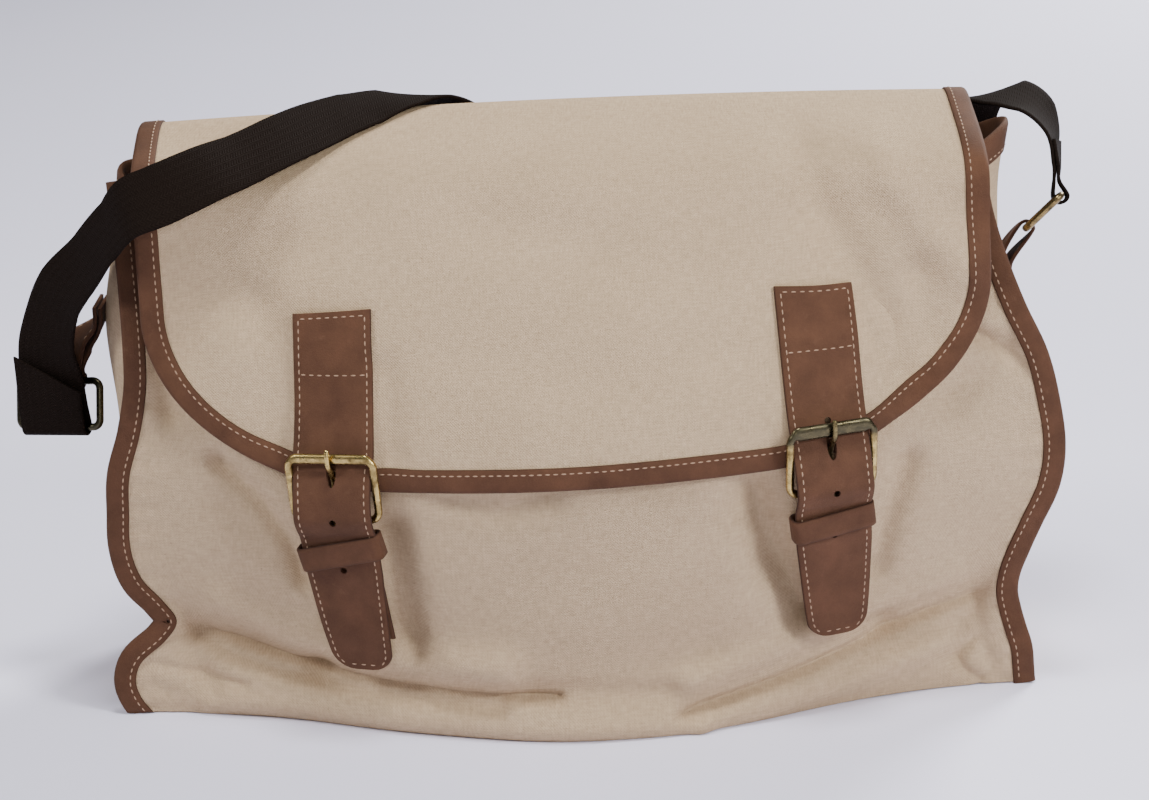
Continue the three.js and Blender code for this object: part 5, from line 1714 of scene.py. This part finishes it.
def buckle_tab_stitches(side):
    """The same at the foot of a buckle tab."""
    share = 1 - EDGE_STITCH / (TAB_WIDTH / 2)
    foot, edge = 0.15, np.linspace(0.15, 2.5, 100)
    lines = [(-share, edge), (share, edge), (OVER * share, foot)]
    return [stitch_line(tab_under(CLOSURES[side]), across, along, TAB_LEATHER / 2) for across, along in lines]


tab_lines = [line for side in SIGN for line in side_tab_stitches(side) + buckle_tab_stitches(side)]
add_stitches("stitches_tabs", tab_lines)
print("tab lines:", len(tab_lines))

# %% [markdown]
# The flap is held to the back by two lines across its hem.

# %% Hem stitches
HEM_HALF_WIDTH = 205
HEM_DROPS = (4, 9)

hem = np.linspace(-HEM_HALF_WIDTH, HEM_HALF_WIDTH, 400)
hem_lines = [stitch_line(flap_point, hem, drop, -CANVAS / 2) for drop in HEM_DROPS]
hem_stitches = add_stitches("stitches_hem", hem_lines)
print("hem lines:", len(hem_lines))

# %% [markdown]
# ## Floor
#
# The bag stands on a wide sheet of pale paper that runs out of the picture. A small sheet would show its
# edge from the side, so this one is a large disk.

# %% Floor
FLOOR_RADIUS = 14
FLOOR_SIDES = 96
FLOOR_RINGS = 24

angle = np.linspace(0, 2 * np.pi, FLOOR_SIDES, endpoint=False)
angle, radius = np.meshgrid(angle, np.linspace(0.02, FLOOR_RADIUS, FLOOR_RINGS))
paper_points = place(radius * np.cos(angle), radius * np.sin(angle), np.zeros(radius.shape)).reshape(-1, 3)
paper_faces = quads_of(FLOOR_RINGS, FLOOR_SIDES).tolist() + [list(range(FLOOR_SIDES))]
paper_mesh = bpy.data.meshes.new("paper")
paper_mesh.from_pydata(paper_points.tolist(), [], paper_faces)
paper_mesh.materials.append(PAPER_LOOK)
paper = bpy.data.objects.new("paper", paper_mesh)
bpy.context.scene.collection.objects.link(paper)
print("floor faces:", len(paper_faces))

# %% [markdown]
# ## Light
#
# Two soft lights stand at the upper left and right. A weak one in front opens the shadows, and a small one
# above draws the shadow under the flap. A strong wide one behind lights the paper and the top of the bag.
# The room itself is dim. One bright room would be simpler, but it would wash out the folds. Each row of
# the table is a name, a place in metres, a width in metres and a power in watts.

# %% Light
LIGHTS = [
    ("left_light", (-1.55, -0.75, 1.55), 0.5, 26),
    ("right_light", (1.3, -1.05, 1.1), 0.5, 29),
    ("front_light", (0.1, -2.4, 0.6), 1.0, 9),
    ("top_light", (0.05, -0.35, 1.9), 0.4, 21),
    ("back_light", (2.1, 2.6, 1.9), 1.6, 215),
]
ROOM_COLOUR = (0.86, 0.87, 0.93, 1)
ROOM_STRENGTH = 0.1

for name, spot, size, power in LIGHTS:
    lamp = bpy.data.lights.new(name, "AREA")
    lamp.shape, lamp.size, lamp.energy = "DISK", size, power
    holder = bpy.data.objects.new(name, lamp)
    holder.location = spot
    holder.rotation_mode = "QUATERNION"
    holder.rotation_quaternion = (AIM - Vector(spot)).to_track_quat("-Z", "Y")
    bpy.context.scene.collection.objects.link(holder)
world = bpy.data.worlds.new("pale_room")
world.use_nodes = True
background = world.node_tree.nodes["Background"]
background.inputs[0].default_value = ROOM_COLOUR
background.inputs[1].default_value = ROOM_STRENGTH
bpy.context.scene.world = world
print("lights:", len(LIGHTS))

# %% [markdown]
# ## Last step
#
# The finished surfaces have to stay about where the solid parts were. The scene is brought up to date.

# %% Finish
bpy.context.view_layer.update()
